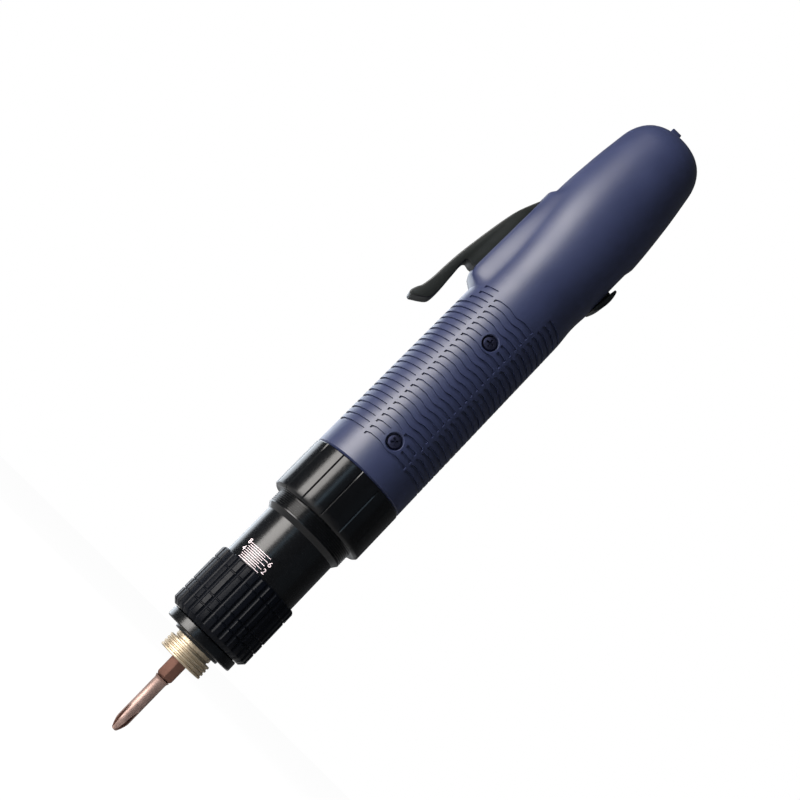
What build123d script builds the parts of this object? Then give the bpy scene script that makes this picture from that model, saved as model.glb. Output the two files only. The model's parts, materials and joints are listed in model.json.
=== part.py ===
from build123d import *
import math
import os

# Electric torque screwdriver, in millimetres.
# Origin: on the spindle axis, at the middle of the coupling collar.
# +Z points to the cable end, -X is the start lever's side, and the casing parts on the plane Y = 0.

# Clearances
seat_gap = 0.02
running_gap = 0.06
face_gap = 0.1
side_play = 0.3

# Coupling collar
collar_length = 22.1
collar_radius = 20.05
collar_chamfer = 0.9
collar_groove_count = 14
collar_groove_depth = 0.3
collar_socket_depth = 7.0

# Clutch barrel
thread_length = 5.5
thread_radius = 16.9
shoulder_length = 2.0
scale_radius = 15.45
scale_length = 26.9
ring_thread_radius = 13.5
ring_thread_length = 19.5
barrel_rear_length = 9.0
barrel_bore_radius = 11.5
gear_bore_radius = 14.5
spring_shoulder_inset = 1.5

# Torque adjusting ring
ring_radius = 17.1
ring_length = 25.8
ring_front_chamfer = 1.8
ring_rear_chamfer = 0.8
ring_land_length = 9.0
ring_front_relief = 2.0
ring_rib_count = 30
ring_flute_radius = 0.85
ring_flute_depth = 0.55
ring_groove_depth = 0.45
ring_groove_width = 0.9
ring_groove_floor_width = 0.2
ring_groove_setbacks = (6.25, 10.5, 20.75)
ring_travel = 8.0

# Nose cap
nose_flange_radius = 14.4
nose_flange_length = 4.0
nose_boss_radius = 9.65
nose_boss_length = 1.1
nose_spigot_radius = 9.48

# Spindle and its front bearing
spindle_radius = 5.0
bearing_radius = 9.5
bearing_width = 5.0
bearing_lip = 1.0
bearing_inset = 4.65
bearing_lip_radius = 8.2
spindle_shoulder_radius = 6.0
spindle_shoulder_length = 1.0
spindle_tail = 4.0

# Bit
bit_length = 50.0
bit_shaft_radius = 2.5
bit_hex_width = 6.3
bit_hex_length = 27.1
bit_neck_length = 0.9
bit_point_length = 4.2
bit_point_radius = 1.0
bit_flute_length = 10.0
bit_flute_width = 1.1
bit_groove_radius = 2.3
bit_groove_width = 2.6
bit_groove_from_end = 9.5
bit_seat_depth = 18.8
hex_clearance = 0.05

# Bit sleeve
sleeve_head_radius = 9.0
sleeve_head_length = 5.3
sleeve_rear_radius = 7.65
sleeve_length = 11.6
sleeve_reach = 7.55
sleeve_front_counterbore = 1.6
sleeve_guide_length = 2.0
sleeve_relief_radius = 6.3
sleeve_rib_count = 3
sleeve_rib_groove = 0.35
sleeve_neck_radius = 7.2
sleeve_neck_length = 0.8
sleeve_spring_radius = 5.75
sleeve_spring_wire = 0.45
sleeve_land_length = 3.2
detent_ball_radius = 1.22
stop_ring_width = 0.9
stop_ring_radius = 6.1

# Torque spring and its seat
spring_seat_length = 2.0
spring_seat_bore_radius = 6.5
spring_lug_reach = 15.2
spring_lug_width = 4.6
spring_lug_count = 3
torque_spring_radius = 8.9
torque_spring_strip = 3.2
torque_spring_turns = 6.5
thrust_plate_length = 1.8

# Clutch
jaw_length = 7.9
jaw_radius = 13.2
clutch_ball_radius = 2.5
clutch_ball_count = 6
clutch_ball_circle = 9.5
clutch_face_gap = 2.0
carrier_length = 10.0

# Planetary gears
gear_module = 0.5
sun_teeth = 18
planet_teeth = 15
pressure_angle = 25.0
gear_addendum = 0.45
gear_dedendum = 0.6
gear_backlash = 0.08
planet_count = 3
planet_pin_radius = 1.5
second_gear_length = 6.5
first_gear_length = 5.6
carrier_disc_length = 2.4
gear_side_gap = 0.5
ring_gear_length = 17.9

# Motor and its brackets
front_bracket_length = 11.5
rear_bracket_length = 11.0
bracket_radius = 16.0
can_radius = 14.5
can_wall = 1.2
can_length = 40.5
motor_shaft_radius = 2.0
motor_bearing_radius = 5.5
motor_bearing_width = 4.0
magnet_thickness = 3.2
magnet_angle = 140.0
rotor_radius = 9.6
rotor_length = 26.0
rotor_slot_count = 8
rotor_slot_width = 1.6
rotor_slot_depth = 3.5
commutator_radius = 4.6
commutator_length = 7.0
brush_width = 3.0
brush_length = 6.0

# Casing
casing_front_radius = 19.85
grip_rear_radius = 19.7
grip_length = 89.0
tail_length = 98.45
casing_wall = 2.2
casing_neck_radius = 18.1
casing_front_chamfer = 0.7
casing_end_wall = 5.5
dome_fillet = 9.0
land_margin = 0.3
land_slope = 1.4
cavity_fillet = 5.0

# Grip grooves: four runs of arcs with lands between them, their ends at angles from the lever's side
grip_groove_pitch = 3.0
grip_groove_width = 1.05
grip_groove_floor_width = 0.6
grip_groove_depth = 0.6
grip_groove_setback = 11.55
long_run_count = 27
short_run_count = 24
lever_run_half_angle = 56.0
screw_run_start_angle = 60.0
screw_run_end_angle = 117.0
paddle_run_half_angle = 60.0
screw_guard_margin = 1.1

# Casing screws
screw_spacing = 50.8
screw_setback = 15.45
screw_head_radius = 2.7
screw_head_length = 1.6
screw_recess_radius = 3.15
screw_recess_depth = 2.0
screw_shank_radius = 1.2
screw_shank_length = 5.8

# Cowl over the lever's root, its stations counted from the rear end of the grip
cowl_start = -5.25
cowl_lip_length = 2.3
cowl_ramp_length = 5.8
cowl_length = 52.3
cowl_step_length = 2.8
cowl_lip_reach = 23.5
cowl_reach = 24.6
cowl_step_reach = 24.2
cowl_rear_reach = 22.4
cowl_side_reach = 12.0
cowl_middle_x = -8.0
cowl_crown = 1.0

# Start lever and its switch, their stations counted from the rear end of the grip
lever_width = 8.0
lever_reach = 35.0
lever_tip_start = -25.35
lever_crest_setback = 1.7
lever_crest_rise = 1.75
lever_nose_drop = 1.4
lever_shoulder_setback = 6.3
lever_thickness = 5.75
lever_chin_setback = 4.5
lever_bend_setback = 26.5
lever_bend_drop = 1.35
lever_back_setback = 47.0
lever_back_drop = 4.15
lever_end_setback = 63.9
lever_web_setback = 25.6
lever_web_length = 2.3
lever_web_lean = 1.0
lever_pivot_x = -20.0
lever_pivot_setback = 61.3
lever_pin_radius = 1.5
lever_pin_seat = 2.0
lever_hub_radius = 3.2
lever_root_front_x = -19.0
lever_root_rear_x = -18.2
lever_root_length = 28.5
slot_front_margin = 1.2
slot_rear_margin = 3.5
slot_depth_x = -10.0
plunger_start = 5.95
plunger_radius = 1.3
lever_spring_start = 17.95
lever_spring_radius = 2.2
lever_spring_wire = 0.35
switch_start = -0.05
switch_length = 22.0
switch_width = 6.4
switch_face_x = -12.5

# Control board, from behind the motor to the rear end of the reverse switch
board_thickness = 1.6
board_setback = 4.95
board_rear_margin = 0.7
board_edge_gap = 0.3
capacitor_radius = 4.0
capacitor_length = 9.0
capacitor_setback = 8.0
component_offset = 9.0
chip_setback = 24.0
chip_length = 6.0
chip_width = 6.0
chip_height = 1.6

# Reverse paddle and its switch, its middle counted from the rear end of the grip
paddle_start = 27.75
paddle_length = 12.8
paddle_width = 9.6
paddle_edge = 1.0
paddle_crown = 1.3
paddle_top_x = 22.2
paddle_neck_length = 9.0
paddle_neck_width = 6.0
paddle_pivot_x = 15.9
paddle_trunnion_radius = 1.2
paddle_trunnion_length = 2.0
paddle_swing = 12.0
window_margin = 0.7
window_depth = 5.9
recess_floor_x = 19.1
recess_start = 19.15
recess_length = 23.0
recess_ramp_length = 4.2
recess_ramp_height = 1.2
recess_half_width = 6.5
ear_thickness = 2.2
ear_half_height = 2.3
reverse_switch_length = 11.0
reverse_switch_width = 9.0
reverse_switch_top_x = 13.2

# Rear end: hanger eye and power socket
eye_x = -4.8
eye_thickness = 4.4
eye_half_width = 5.0
eye_hole_radius = 2.0
eye_hole_lift = 0.9
eye_rim = 1.9
eye_foot_half_width = 7.5
eye_foot_length = 2.4
eye_trough_depth = 2.0
eye_trough_half_width = 3.2
eye_trough_low_x = -15.0
eye_trough_high_x = 0.5
socket_x = 5.5
socket_radius = 6.5
socket_bore_radius = 5.0
socket_bore_length = 8.0
socket_rim_drop = 2.2
socket_inner_radius = 4.3
socket_inner_depth = 4.8
socket_floor = 2.0
socket_pin_radius = 0.5
socket_pin_circle = 2.4
socket_pin_count = 4

# Stations along the axis
collar_front = -collar_length / 2
collar_rear = collar_length / 2
thread_front = collar_front - thread_length
scale_rear = thread_front - shoulder_length
scale_front = scale_rear - scale_length
barrel_front = scale_front - ring_thread_length
barrel_rear = collar_rear + barrel_rear_length
ring_front = barrel_front + face_gap
ring_rear = ring_front + ring_length
ring_land_front = ring_front + ring_front_relief
ring_land_rear = ring_land_front + ring_land_length
nose_flange_front = barrel_front - nose_flange_length
nose_front = nose_flange_front - nose_boss_length
bearing_front = barrel_front + bearing_inset
bearing_rear = bearing_front + bearing_width
barrel_bore_front = bearing_rear + bearing_lip
sleeve_front = nose_front - sleeve_reach
sleeve_rear = sleeve_front + sleeve_length
sleeve_guide_front = sleeve_front + sleeve_front_counterbore
sleeve_guide_rear = sleeve_guide_front + sleeve_guide_length
sleeve_land_front = sleeve_rear - sleeve_land_length
stop_ring_front = sleeve_guide_front - stop_ring_width
spindle_front = stop_ring_front - 0.3
spindle_shoulder_front = bearing_front - spindle_shoulder_length
bit_rear = spindle_front + bit_seat_depth
bit_front = bit_rear - bit_length
bit_hex_front = bit_rear - bit_hex_length
bit_groove_z = bit_rear - bit_groove_from_end
seat_front = ring_land_rear + face_gap / 2
seat_rear = seat_front + spring_seat_length
spring_shoulder = scale_rear - spring_shoulder_inset
thrust_front = spring_shoulder + face_gap
thrust_rear = thrust_front + thrust_plate_length
jaw_front = thrust_rear + face_gap
jaw_rear = jaw_front + jaw_length
carrier_front = jaw_rear + clutch_face_gap
carrier_rear = carrier_front + carrier_length
clutch_ball_z = (jaw_rear + carrier_front) / 2
spindle_rear = carrier_front + spindle_tail
second_gear_front = carrier_rear + gear_side_gap
second_gear_rear = second_gear_front + second_gear_length
carrier_disc_front = second_gear_rear + gear_side_gap
carrier_disc_rear = carrier_disc_front + carrier_disc_length
first_gear_front = carrier_disc_rear + gear_side_gap
first_gear_rear = first_gear_front + first_gear_length
ring_gear_front = barrel_rear - ring_gear_length
front_bracket_rear = barrel_rear + front_bracket_length
can_rear = front_bracket_rear + can_length
rear_bracket_rear = can_rear + rear_bracket_length
rotor_front = front_bracket_rear + 6.5
rotor_rear = rotor_front + rotor_length
commutator_front = rotor_rear + 0.3
commutator_rear = commutator_front + commutator_length
grip_rear = collar_rear + grip_length
casing_rear = grip_rear + tail_length
cavity_rear = casing_rear - casing_end_wall
front_screw_z = collar_rear + screw_setback
rear_screw_z = front_screw_z + screw_spacing
neck_front = collar_rear - collar_socket_depth
cowl_front_z = grip_rear + cowl_start
cowl_rear_z = cowl_front_z + cowl_length
lever_tip_z = grip_rear + lever_tip_start
lever_web_front_z = lever_tip_z + lever_web_setback
lever_web_rear_z = lever_web_front_z + lever_web_length
lever_pivot_z = lever_tip_z + lever_pivot_setback
lever_root_rear_z = lever_web_rear_z + lever_root_length
slot_front_z = lever_web_front_z - slot_front_margin
slot_rear_z = lever_pivot_z + slot_rear_margin
plunger_z = grip_rear + plunger_start
lever_spring_z = grip_rear + lever_spring_start
switch_front_z = grip_rear + switch_start
paddle_z = grip_rear + paddle_start
board_front_z = rear_bracket_rear + board_setback
board_rear_z = paddle_z + reverse_switch_length / 2 + board_rear_margin
recess_front_z = grip_rear + recess_start
socket_rim_z = casing_rear - socket_rim_drop
socket_step_z = socket_rim_z - socket_bore_length
socket_floor_z = socket_step_z - socket_inner_depth

# Sizes that follow from others
ring_gear_teeth = sun_teeth + 2 * planet_teeth
sun_pitch_radius = gear_module * sun_teeth / 2
planet_pitch_radius = gear_module * planet_teeth / 2
ring_pitch_radius = gear_module * ring_gear_teeth / 2
planet_circle = sun_pitch_radius + planet_pitch_radius
planet_angles = [360 / planet_count * index for index in range(planet_count)]
carrier_radius = gear_bore_radius - running_gap
carrier_disc_radius = ring_pitch_radius - gear_addendum - side_play
cavity_radius = grip_rear_radius - casing_wall
land_radius = bracket_radius + seat_gap
magnet_radius = can_radius - can_wall - seat_gap
cut_reach = 3 * collar_radius

# Rear casing sections: height, shift in X, half width in X, half depth in Y
rear_sections = (
    (grip_rear, 0.0, grip_rear_radius, grip_rear_radius),
    (grip_rear + 10.95, -0.3, 19.4, 19.5),
    (grip_rear + 21.95, -0.3, 20.1, 19.7),
    (casing_rear - 52.5, -1.1, 21.4, 20.2),
    (casing_rear - 30.5, -1.3, 20.1, 19.1),
    (casing_rear - 14.5, -1.45, 18.3, 17.4),
    (casing_rear, -1.6, 16.4, 15.6),
)


def turned(outline):
    """A solid of revolution about the spindle axis, from (radius, height) corners."""
    corners = [(radius, 0, height) for radius, height in outline]
    return revolve(make_face(Polyline(*corners, close=True)), Axis.Z)


def ring_solid(outer, inner, low, high):
    """A plain ring or bush."""
    return turned([(inner, low), (outer, low), (outer, high), (inner, high)])


def notch_corners(radius, middle, depth, width, floor_width):
    """Corners of a groove's section on a turned surface, its slanted walls drawn past the surface."""
    mouth = width - floor_width / 2
    return [
        (radius + depth, middle - mouth), (radius + depth, middle + mouth),
        (radius - depth, middle + floor_width / 2), (radius - depth, middle - floor_width / 2),
    ]


def rod(radius, low, high, x=0, y=0):
    """A round bar along Z."""
    return Pos(x, y, (low + high) / 2) * Cylinder(radius, high - low)


def block(low, high):
    """A box between two corners."""
    centre = [(a + b) / 2 for a, b in zip(low, high)]
    return Pos(*centre) * Box(*[b - a for a, b in zip(low, high)])


def cross_rod(radius, half_length, x, z):
    """A round bar along Y, centred on the parting plane."""
    return Pos(x, 0, z) * Rot(90, 0, 0) * Cylinder(radius, 2 * half_length)


def along_x(radius, low, high, z):
    """A round bar along X."""
    return Pos((low + high) / 2, 0, z) * Rot(0, 90, 0) * Cylinder(radius, high - low)


def around(shape, count, start=0):
    """Copies of a shape, evenly turned about the spindle axis."""
    return [Rot(0, 0, start + 360 / count * index) * shape for index in range(count)]


def joined(shapes):
    """Separate solids kept in one group."""
    return Compound(children=[Solid(solid.wrapped) for shape in shapes for solid in shape.solids()])


def involute(angle):
    """The involute function, in radians."""
    return math.tan(angle) - angle


def flank_points(teeth, radii, half_width_sign):
    """Points of a tooth flank at three radii, for a tooth centred on +X."""
    pitch_radius = gear_module * teeth / 2
    pressure = math.radians(pressure_angle)
    base_radius = pitch_radius * math.cos(pressure)
    half_pitch = math.pi / (2 * teeth) + half_width_sign * gear_backlash / (4 * pitch_radius)
    points = []
    for radius in radii:
        roll = math.acos(min(1.0, base_radius / radius))
        half_angle = half_pitch + involute(pressure) - involute(roll)
        points.append((radius, half_angle))
    return points


def polar(radius, angle):
    """A point of the XY plane."""
    return (radius * math.cos(angle), radius * math.sin(angle))


def gear_face(teeth, inner_radius, outer_radius, half_width_sign):
    """A toothed outline: each tooth is two curved flanks between two radii, joined by straight lands."""
    base_radius = gear_module * teeth / 2 * math.cos(math.radians(pressure_angle))
    start_radius = max(inner_radius, base_radius)
    radii = [start_radius, (start_radius + outer_radius) / 2, outer_radius]
    flank = flank_points(teeth, radii, half_width_sign)
    edges = []
    last = None
    for tooth in range(teeth):
        middle = 2 * math.pi * tooth / teeth
        foot = polar(inner_radius, middle - flank[0][1])
        low = [polar(radius, middle - half) for radius, half in flank]
        high = [polar(radius, middle + half) for radius, half in reversed(flank)]
        end = polar(inner_radius, middle + flank[0][1])
        if last is not None:
            edges.append(Line(last, foot))
        else:
            first = foot
        if start_radius > inner_radius + 0.01:
            edges.append(Line(foot, low[0]))
        edges.append(ThreePointArc(*low))
        edges.append(Line(low[2], high[0]))
        edges.append(ThreePointArc(*high))
        if start_radius > inner_radius + 0.01:
            edges.append(Line(high[2], end))
        last = end
    edges.append(Line(last, first))
    return make_face(Wire(edges))


def outer_gear(teeth, low, high, bore):
    """A spur gear with a bore, its first tooth on +X."""
    pitch_radius = gear_module * teeth / 2
    root = pitch_radius - gear_dedendum
    tip = pitch_radius + gear_addendum
    face = gear_face(teeth, root, tip, -1)
    body = extrude(Plane(origin=(0, 0, low)) * face, high - low)
    return body - rod(bore, low - 1, high + 1)


def bit():
    """The driver bit: cross point, round shaft, and hexagon shank with its detent groove."""
    hex_corner = bit_hex_width / math.sqrt(3)
    neck_rear = bit_hex_front + bit_neck_length
    point_rear = bit_front + bit_point_length
    shaft = turned([
        (0, bit_front), (bit_point_radius, bit_front), (bit_shaft_radius, point_rear),
        (bit_shaft_radius, bit_hex_front), (0, bit_hex_front),
    ])
    prism = extrude(
        Plane(origin=(0, 0, bit_hex_front)) * RegularPolygon(bit_hex_width / 2, 6, major_radius=False),
        bit_hex_length,
    )
    cone = turned([
        (0, bit_hex_front), (bit_shaft_radius, bit_hex_front), (hex_corner, neck_rear),
        (hex_corner, bit_rear - 0.5), (hex_corner - 0.5, bit_rear), (0, bit_rear),
    ])
    shank = prism & cone
    groove = ring_solid(
        hex_corner + 1, bit_groove_radius, bit_groove_z - bit_groove_width / 2,
        bit_groove_z + bit_groove_width / 2,
    )
    body = shaft + (shank - groove)
    slope = math.degrees(math.atan((bit_shaft_radius - 0.35) / bit_flute_length))
    flute = Pos(0.35, 0, bit_front) * Rot(0, slope, 0) * Pos(3, 0, bit_flute_length / 2)
    flute = flute * Box(6, bit_flute_width, bit_flute_length * 1.6)
    return body - around(Rot(0, 0, 45) * flute, 4)


def spindle():
    """The output spindle, with the hexagon socket and the two detent holes."""
    body = turned([
        (0, spindle_front), (spindle_radius, spindle_front),
        (spindle_radius, spindle_shoulder_front), (spindle_shoulder_radius, spindle_shoulder_front),
        (spindle_shoulder_radius, bearing_front - face_gap / 2),
        (spindle_radius, bearing_front - face_gap / 2),
        (spindle_radius, spindle_rear), (0, spindle_rear),
    ])
    socket = extrude(
        Plane(origin=(0, 0, spindle_front))
        * RegularPolygon(bit_hex_width / 2 + hex_clearance, 6, major_radius=False),
        bit_seat_depth + hex_clearance,
    )
    reach = spindle_radius + 1
    hole = along_x(detent_ball_radius + seat_gap, -reach, reach, bit_groove_z)
    return body - socket - hole


def detent_balls():
    """Two balls that catch the bit's groove."""
    reach = bit_groove_radius + seat_gap + detent_ball_radius
    return joined([Pos(side * reach, 0, bit_groove_z) * Sphere(detent_ball_radius) for side in (-1, 1)])


def stop_ring():
    """The snap ring that holds the bit sleeve on the spindle."""
    bore = spindle_radius + seat_gap
    ring = ring_solid(stop_ring_radius, bore, stop_ring_front, sleeve_guide_front - seat_gap)
    gap = block((0, -0.8, stop_ring_front - 1), (stop_ring_radius + 1, 0.8, sleeve_guide_front + 1))
    return ring - gap


def bit_sleeve():
    """The sleeve that is pulled back to free the bit."""
    bore = spindle_radius + running_gap
    head_rear = sleeve_front + sleeve_head_length
    neck_rear = head_rear + sleeve_neck_length
    body = turned([
        (bore, sleeve_guide_front), (sleeve_relief_radius, sleeve_guide_front),
        (sleeve_relief_radius, sleeve_front), (sleeve_head_radius - 0.6, sleeve_front),
        (sleeve_head_radius, sleeve_front + 0.6), (sleeve_head_radius, head_rear - 0.3),
        (sleeve_head_radius - 0.3, head_rear), (sleeve_neck_radius, head_rear),
        (sleeve_neck_radius, neck_rear), (sleeve_rear_radius, neck_rear),
        (sleeve_rear_radius, sleeve_rear), (bore, sleeve_rear),
        (bore, sleeve_land_front), (sleeve_relief_radius, sleeve_land_front),
        (sleeve_relief_radius, sleeve_guide_rear), (bore, sleeve_guide_rear),
    ])
    pitch = sleeve_head_length / (sleeve_rib_count + 1)
    for index in range(sleeve_rib_count):
        middle = sleeve_front + pitch * (index + 1)
        groove = turned([
            (sleeve_head_radius - sleeve_rib_groove, middle),
            (sleeve_head_radius + 0.2, middle - sleeve_rib_groove - 0.2),
            (sleeve_head_radius + 0.2, middle + sleeve_rib_groove + 0.2),
        ])
        body = body - groove
    return body


def coil(radius, wire, low, high, turns):
    """A round-wire spring along Z, its ends inside the two heights."""
    pitch = (high - low - 2 * wire) / turns
    path = Helix(pitch, pitch * turns, radius, center=(0, 0, low + wire))
    start = path @ 0
    section = Plane(origin=start, z_dir=path % 0) * Circle(wire)
    return sweep(section, path=path, is_frenet=True)


def strip_coil(radius, strip, low, high, turns):
    """A spring of square wire along Z, its ends inside the two heights."""
    pitch = (high - low - strip) / turns
    path = Helix(pitch, pitch * turns, radius, center=(0, 0, low + strip / 2))
    start = path @ 0
    section = Plane(origin=start, x_dir=(1, 0, 0), z_dir=path % 0) * Rectangle(strip, strip * 0.8)
    return sweep(section, path=path, is_frenet=True)


def nose_cap():
    """The cap that closes the barrel and guides the bit sleeve."""
    bore = sleeve_rear_radius + running_gap
    return turned([
        (bore, nose_front), (nose_boss_radius - 0.3, nose_front), (nose_boss_radius, nose_front + 0.3),
        (nose_boss_radius, nose_flange_front), (nose_flange_radius - 0.5, nose_flange_front),
        (nose_flange_radius, nose_flange_front + 0.5), (nose_flange_radius, barrel_front),
        (nose_spigot_radius, barrel_front), (nose_spigot_radius, bearing_front), (bore, bearing_front),
    ])


def spindle_bearing():
    """The ball bearing at the front of the spindle, closed by its shields."""
    return turned([
        (spindle_radius + running_gap, bearing_front), (6.4, bearing_front), (6.4, bearing_front + 0.4),
        (8.2, bearing_front + 0.4), (8.2, bearing_front), (bearing_radius, bearing_front),
        (bearing_radius, bearing_rear), (8.2, bearing_rear), (8.2, bearing_rear - 0.4),
        (6.4, bearing_rear - 0.4), (6.4, bearing_rear), (spindle_radius + running_gap, bearing_rear),
    ])


def clutch_barrel():
    """The barrel: thread for the adjusting ring, scale, thread for the collar, and gear housing."""
    bearing_bore = bearing_radius + seat_gap
    body = turned([
        (bearing_bore, barrel_front), (ring_thread_radius, barrel_front),
        (ring_thread_radius, scale_front), (scale_radius, scale_front), (scale_radius, scale_rear),
        (thread_radius, thread_front), (thread_radius, barrel_rear), (gear_bore_radius, barrel_rear),
        (gear_bore_radius, spring_shoulder), (barrel_bore_radius, spring_shoulder),
        (barrel_bore_radius, barrel_bore_front), (bearing_lip_radius, barrel_bore_front),
        (bearing_lip_radius, bearing_rear), (bearing_bore, bearing_rear),
    ])
    half_slot = spring_lug_width / 2 + running_gap
    slot = block(
        (barrel_bore_radius - 1, -half_slot, seat_front - side_play),
        (scale_radius + 1, half_slot, seat_rear + ring_travel + side_play),
    )
    return body - around(slot, spring_lug_count)


def torque_adjusting_ring():
    """The fluted ring that turns on the barrel's front thread and compresses the torque spring."""
    land_bore = ring_thread_radius + running_gap
    skirt_bore = scale_radius + 3 * running_gap
    relief_bore = ring_thread_radius + side_play
    body = turned([
        (relief_bore, ring_front), (ring_radius - ring_front_chamfer, ring_front),
        (ring_radius, ring_front + ring_front_chamfer), (ring_radius, ring_rear - ring_rear_chamfer),
        (ring_radius - ring_rear_chamfer, ring_rear), (skirt_bore, ring_rear),
        (skirt_bore, ring_land_rear), (land_bore, ring_land_rear),
        (land_bore, ring_land_front), (relief_bore, ring_land_front),
    ])
    for setback in ring_groove_setbacks:
        body = body - turned(notch_corners(
            ring_radius, ring_front + setback, ring_groove_depth, ring_groove_width, ring_groove_floor_width
        ))
    flute_circle = ring_radius + ring_flute_radius - ring_flute_depth
    flute = rod(ring_flute_radius, ring_front - 1, ring_rear + 1, flute_circle)
    return body - around(flute, ring_rib_count, 180 / ring_rib_count)


def spring_seat():
    """The seat of the torque spring; its lugs reach out through the barrel's slots."""
    disc = ring_solid(barrel_bore_radius - running_gap, spring_seat_bore_radius, seat_front, seat_rear)
    lug = block(
        (barrel_bore_radius - 2, -spring_lug_width / 2, seat_front),
        (spring_lug_reach, spring_lug_width / 2, seat_rear),
    )
    for turned_lug in around(lug, spring_lug_count):
        disc = disc + turned_lug
    return disc


def thrust_plate():
    """The plate between the torque spring and the clutch."""
    return ring_solid(gear_bore_radius - seat_gap, spindle_radius + side_play, thrust_front, thrust_rear)


def ball_pockets():
    """Room for the clutch balls in the two faces that hold them."""
    pocket = Pos(clutch_ball_circle, 0, clutch_ball_z) * Sphere(clutch_ball_radius + seat_gap)
    return around(pocket, clutch_ball_count)


def clutch_balls():
    """The balls that carry the torque until the clutch slips."""
    ball = Pos(clutch_ball_circle, 0, clutch_ball_z) * Sphere(clutch_ball_radius)
    return joined(around(ball, clutch_ball_count))


def clutch_jaw():
    """The driven half of the clutch, on the spindle."""
    return ring_solid(jaw_radius, spindle_radius + seat_gap, jaw_front, jaw_rear) - ball_pockets()


def planet_pins(low, high):
    """Three pins for the planet gears."""
    return around(rod(planet_pin_radius, low, high, planet_circle), planet_count)


def output_carrier():
    """The driving half of the clutch, which is also the second planet carrier."""
    body = ring_solid(carrier_radius, spindle_radius + seat_gap, carrier_front, spindle_rear)
    body = body + rod(carrier_radius, spindle_rear, carrier_rear)
    for pin in planet_pins(carrier_rear - 1, second_gear_rear + seat_gap):
        body = body + pin
    return body - ball_pockets()


def first_carrier():
    """The first planet carrier, with the second sun gear on its front."""
    body = rod(carrier_disc_radius, carrier_disc_front, carrier_disc_rear)
    body = body + outer_gear(sun_teeth, second_gear_front, carrier_disc_front, motor_shaft_radius / 2)
    for pin in planet_pins(carrier_disc_rear - 1, first_gear_rear + seat_gap):
        body = body + pin
    return body


def planet(low, high, angle):
    """One planet gear, a tooth pointing away from the axis."""
    gear = outer_gear(planet_teeth, low, high, planet_pin_radius + running_gap)
    return Rot(0, 0, angle) * Pos(planet_circle, 0, 0) * gear


def ring_gear():
    """The fixed internal gear, a tooth space on +X."""
    tip = ring_pitch_radius - gear_addendum
    root = ring_pitch_radius + gear_dedendum
    space = gear_face(ring_gear_teeth, tip, root, 1)
    low = Plane(origin=(0, 0, ring_gear_front))
    body = extrude(low * Circle(gear_bore_radius - seat_gap), ring_gear_length)
    return body - extrude(low * space, ring_gear_length)


def motor_bearing(low):
    """A motor bearing."""
    bore = motor_shaft_radius + running_gap
    return ring_solid(motor_bearing_radius, bore, low, low + motor_bearing_width)


def screw_holes():
    """Radial holes for the casing screws."""
    reach = 2 * (screw_head_radius + screw_shank_length + bracket_radius)
    return [
        Pos(0, 0, z) * Rot(90, 0, 0) * Cylinder(screw_shank_radius + seat_gap, reach)
        for z in (front_screw_z, rear_screw_z)
    ]


def screw_recesses():
    """Round recesses in the casing for the screw heads."""
    floor = casing_front_radius - screw_recess_depth
    recess = Cylinder(screw_recess_radius, 4, align=(Align.CENTER, Align.CENTER, Align.MIN))
    cuts = []
    for z in (front_screw_z, rear_screw_z):
        cuts.append(Pos(0, -floor, z) * Rot(90, 0, 0) * recess)
        cuts.append(Pos(0, floor, z) * Rot(-90, 0, 0) * recess)
    return cuts


def housing_screws():
    """Four cross-recessed screws that clamp the casing halves to the brackets."""
    floor = casing_front_radius - screw_recess_depth
    head = Pos(0, 0, screw_head_length / 2) * Cylinder(screw_head_radius, screw_head_length)
    head = fillet(head.edges().group_by(Axis.Z)[-1], 0.5)
    shank = Pos(0, 0, -screw_shank_length / 2) * Cylinder(screw_shank_radius, screw_shank_length)
    cross = Pos(0, 0, screw_head_length) * (Box(3, 0.7, 1.6) + Box(0.7, 3, 1.6))
    screw = head + shank - cross
    screws = []
    for z in (front_screw_z, rear_screw_z):
        screws.append(Pos(0, -floor, z) * Rot(90, 0, 0) * screw)
        screws.append(Pos(0, floor, z) * Rot(-90, 0, 0) * screw)
    return joined(screws)


def front_bracket():
    """The bracket that closes the gear housing and holds the motor's front bearing."""
    body = turned([
        (motor_shaft_radius + side_play, barrel_rear), (bracket_radius, barrel_rear),
        (bracket_radius, front_bracket_rear), (motor_bearing_radius + seat_gap, front_bracket_rear),
        (motor_bearing_radius + seat_gap, front_bracket_rear - motor_bearing_width),
        (motor_shaft_radius + side_play, front_bracket_rear - motor_bearing_width),
    ])
    return body - screw_holes()[0]


def rear_bracket():
    """The bracket behind the motor, with the rear bearing."""
    body = turned([
        (motor_bearing_radius + seat_gap, can_rear), (bracket_radius, can_rear),
        (bracket_radius, rear_bracket_rear), (motor_shaft_radius + side_play, rear_bracket_rear),
        (motor_shaft_radius + side_play, can_rear + motor_bearing_width),
        (motor_bearing_radius + seat_gap, can_rear + motor_bearing_width),
    ])
    return body - screw_holes()[1]


def motor_can():
    """The steel tube of the motor."""
    return ring_solid(can_radius, can_radius - can_wall, front_bracket_rear, can_rear)


def motor_magnets():
    """Two curved magnets inside the can."""
    shell = ring_solid(magnet_radius, magnet_radius - magnet_thickness, rotor_front - 1, rotor_rear + 1)
    half_gap = (180 - magnet_angle) / 2
    width = 2 * magnet_radius * math.sin(math.radians(half_gap))
    shell = shell - Box(3 * magnet_radius, width, 8 * rotor_length)
    return joined([shell])


def rotor_core():
    """The slotted core of the rotor."""
    body = ring_solid(rotor_radius, motor_shaft_radius + seat_gap, rotor_front, rotor_rear)
    slot = block(
        (rotor_radius - rotor_slot_depth, -rotor_slot_width / 2, rotor_front - 1),
        (rotor_radius + 1, rotor_slot_width / 2, rotor_rear + 1),
    )
    return body - around(slot, rotor_slot_count)


def commutator():
    """The commutator behind the core."""
    return ring_solid(commutator_radius, motor_shaft_radius + seat_gap, commutator_front, commutator_rear)


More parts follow.
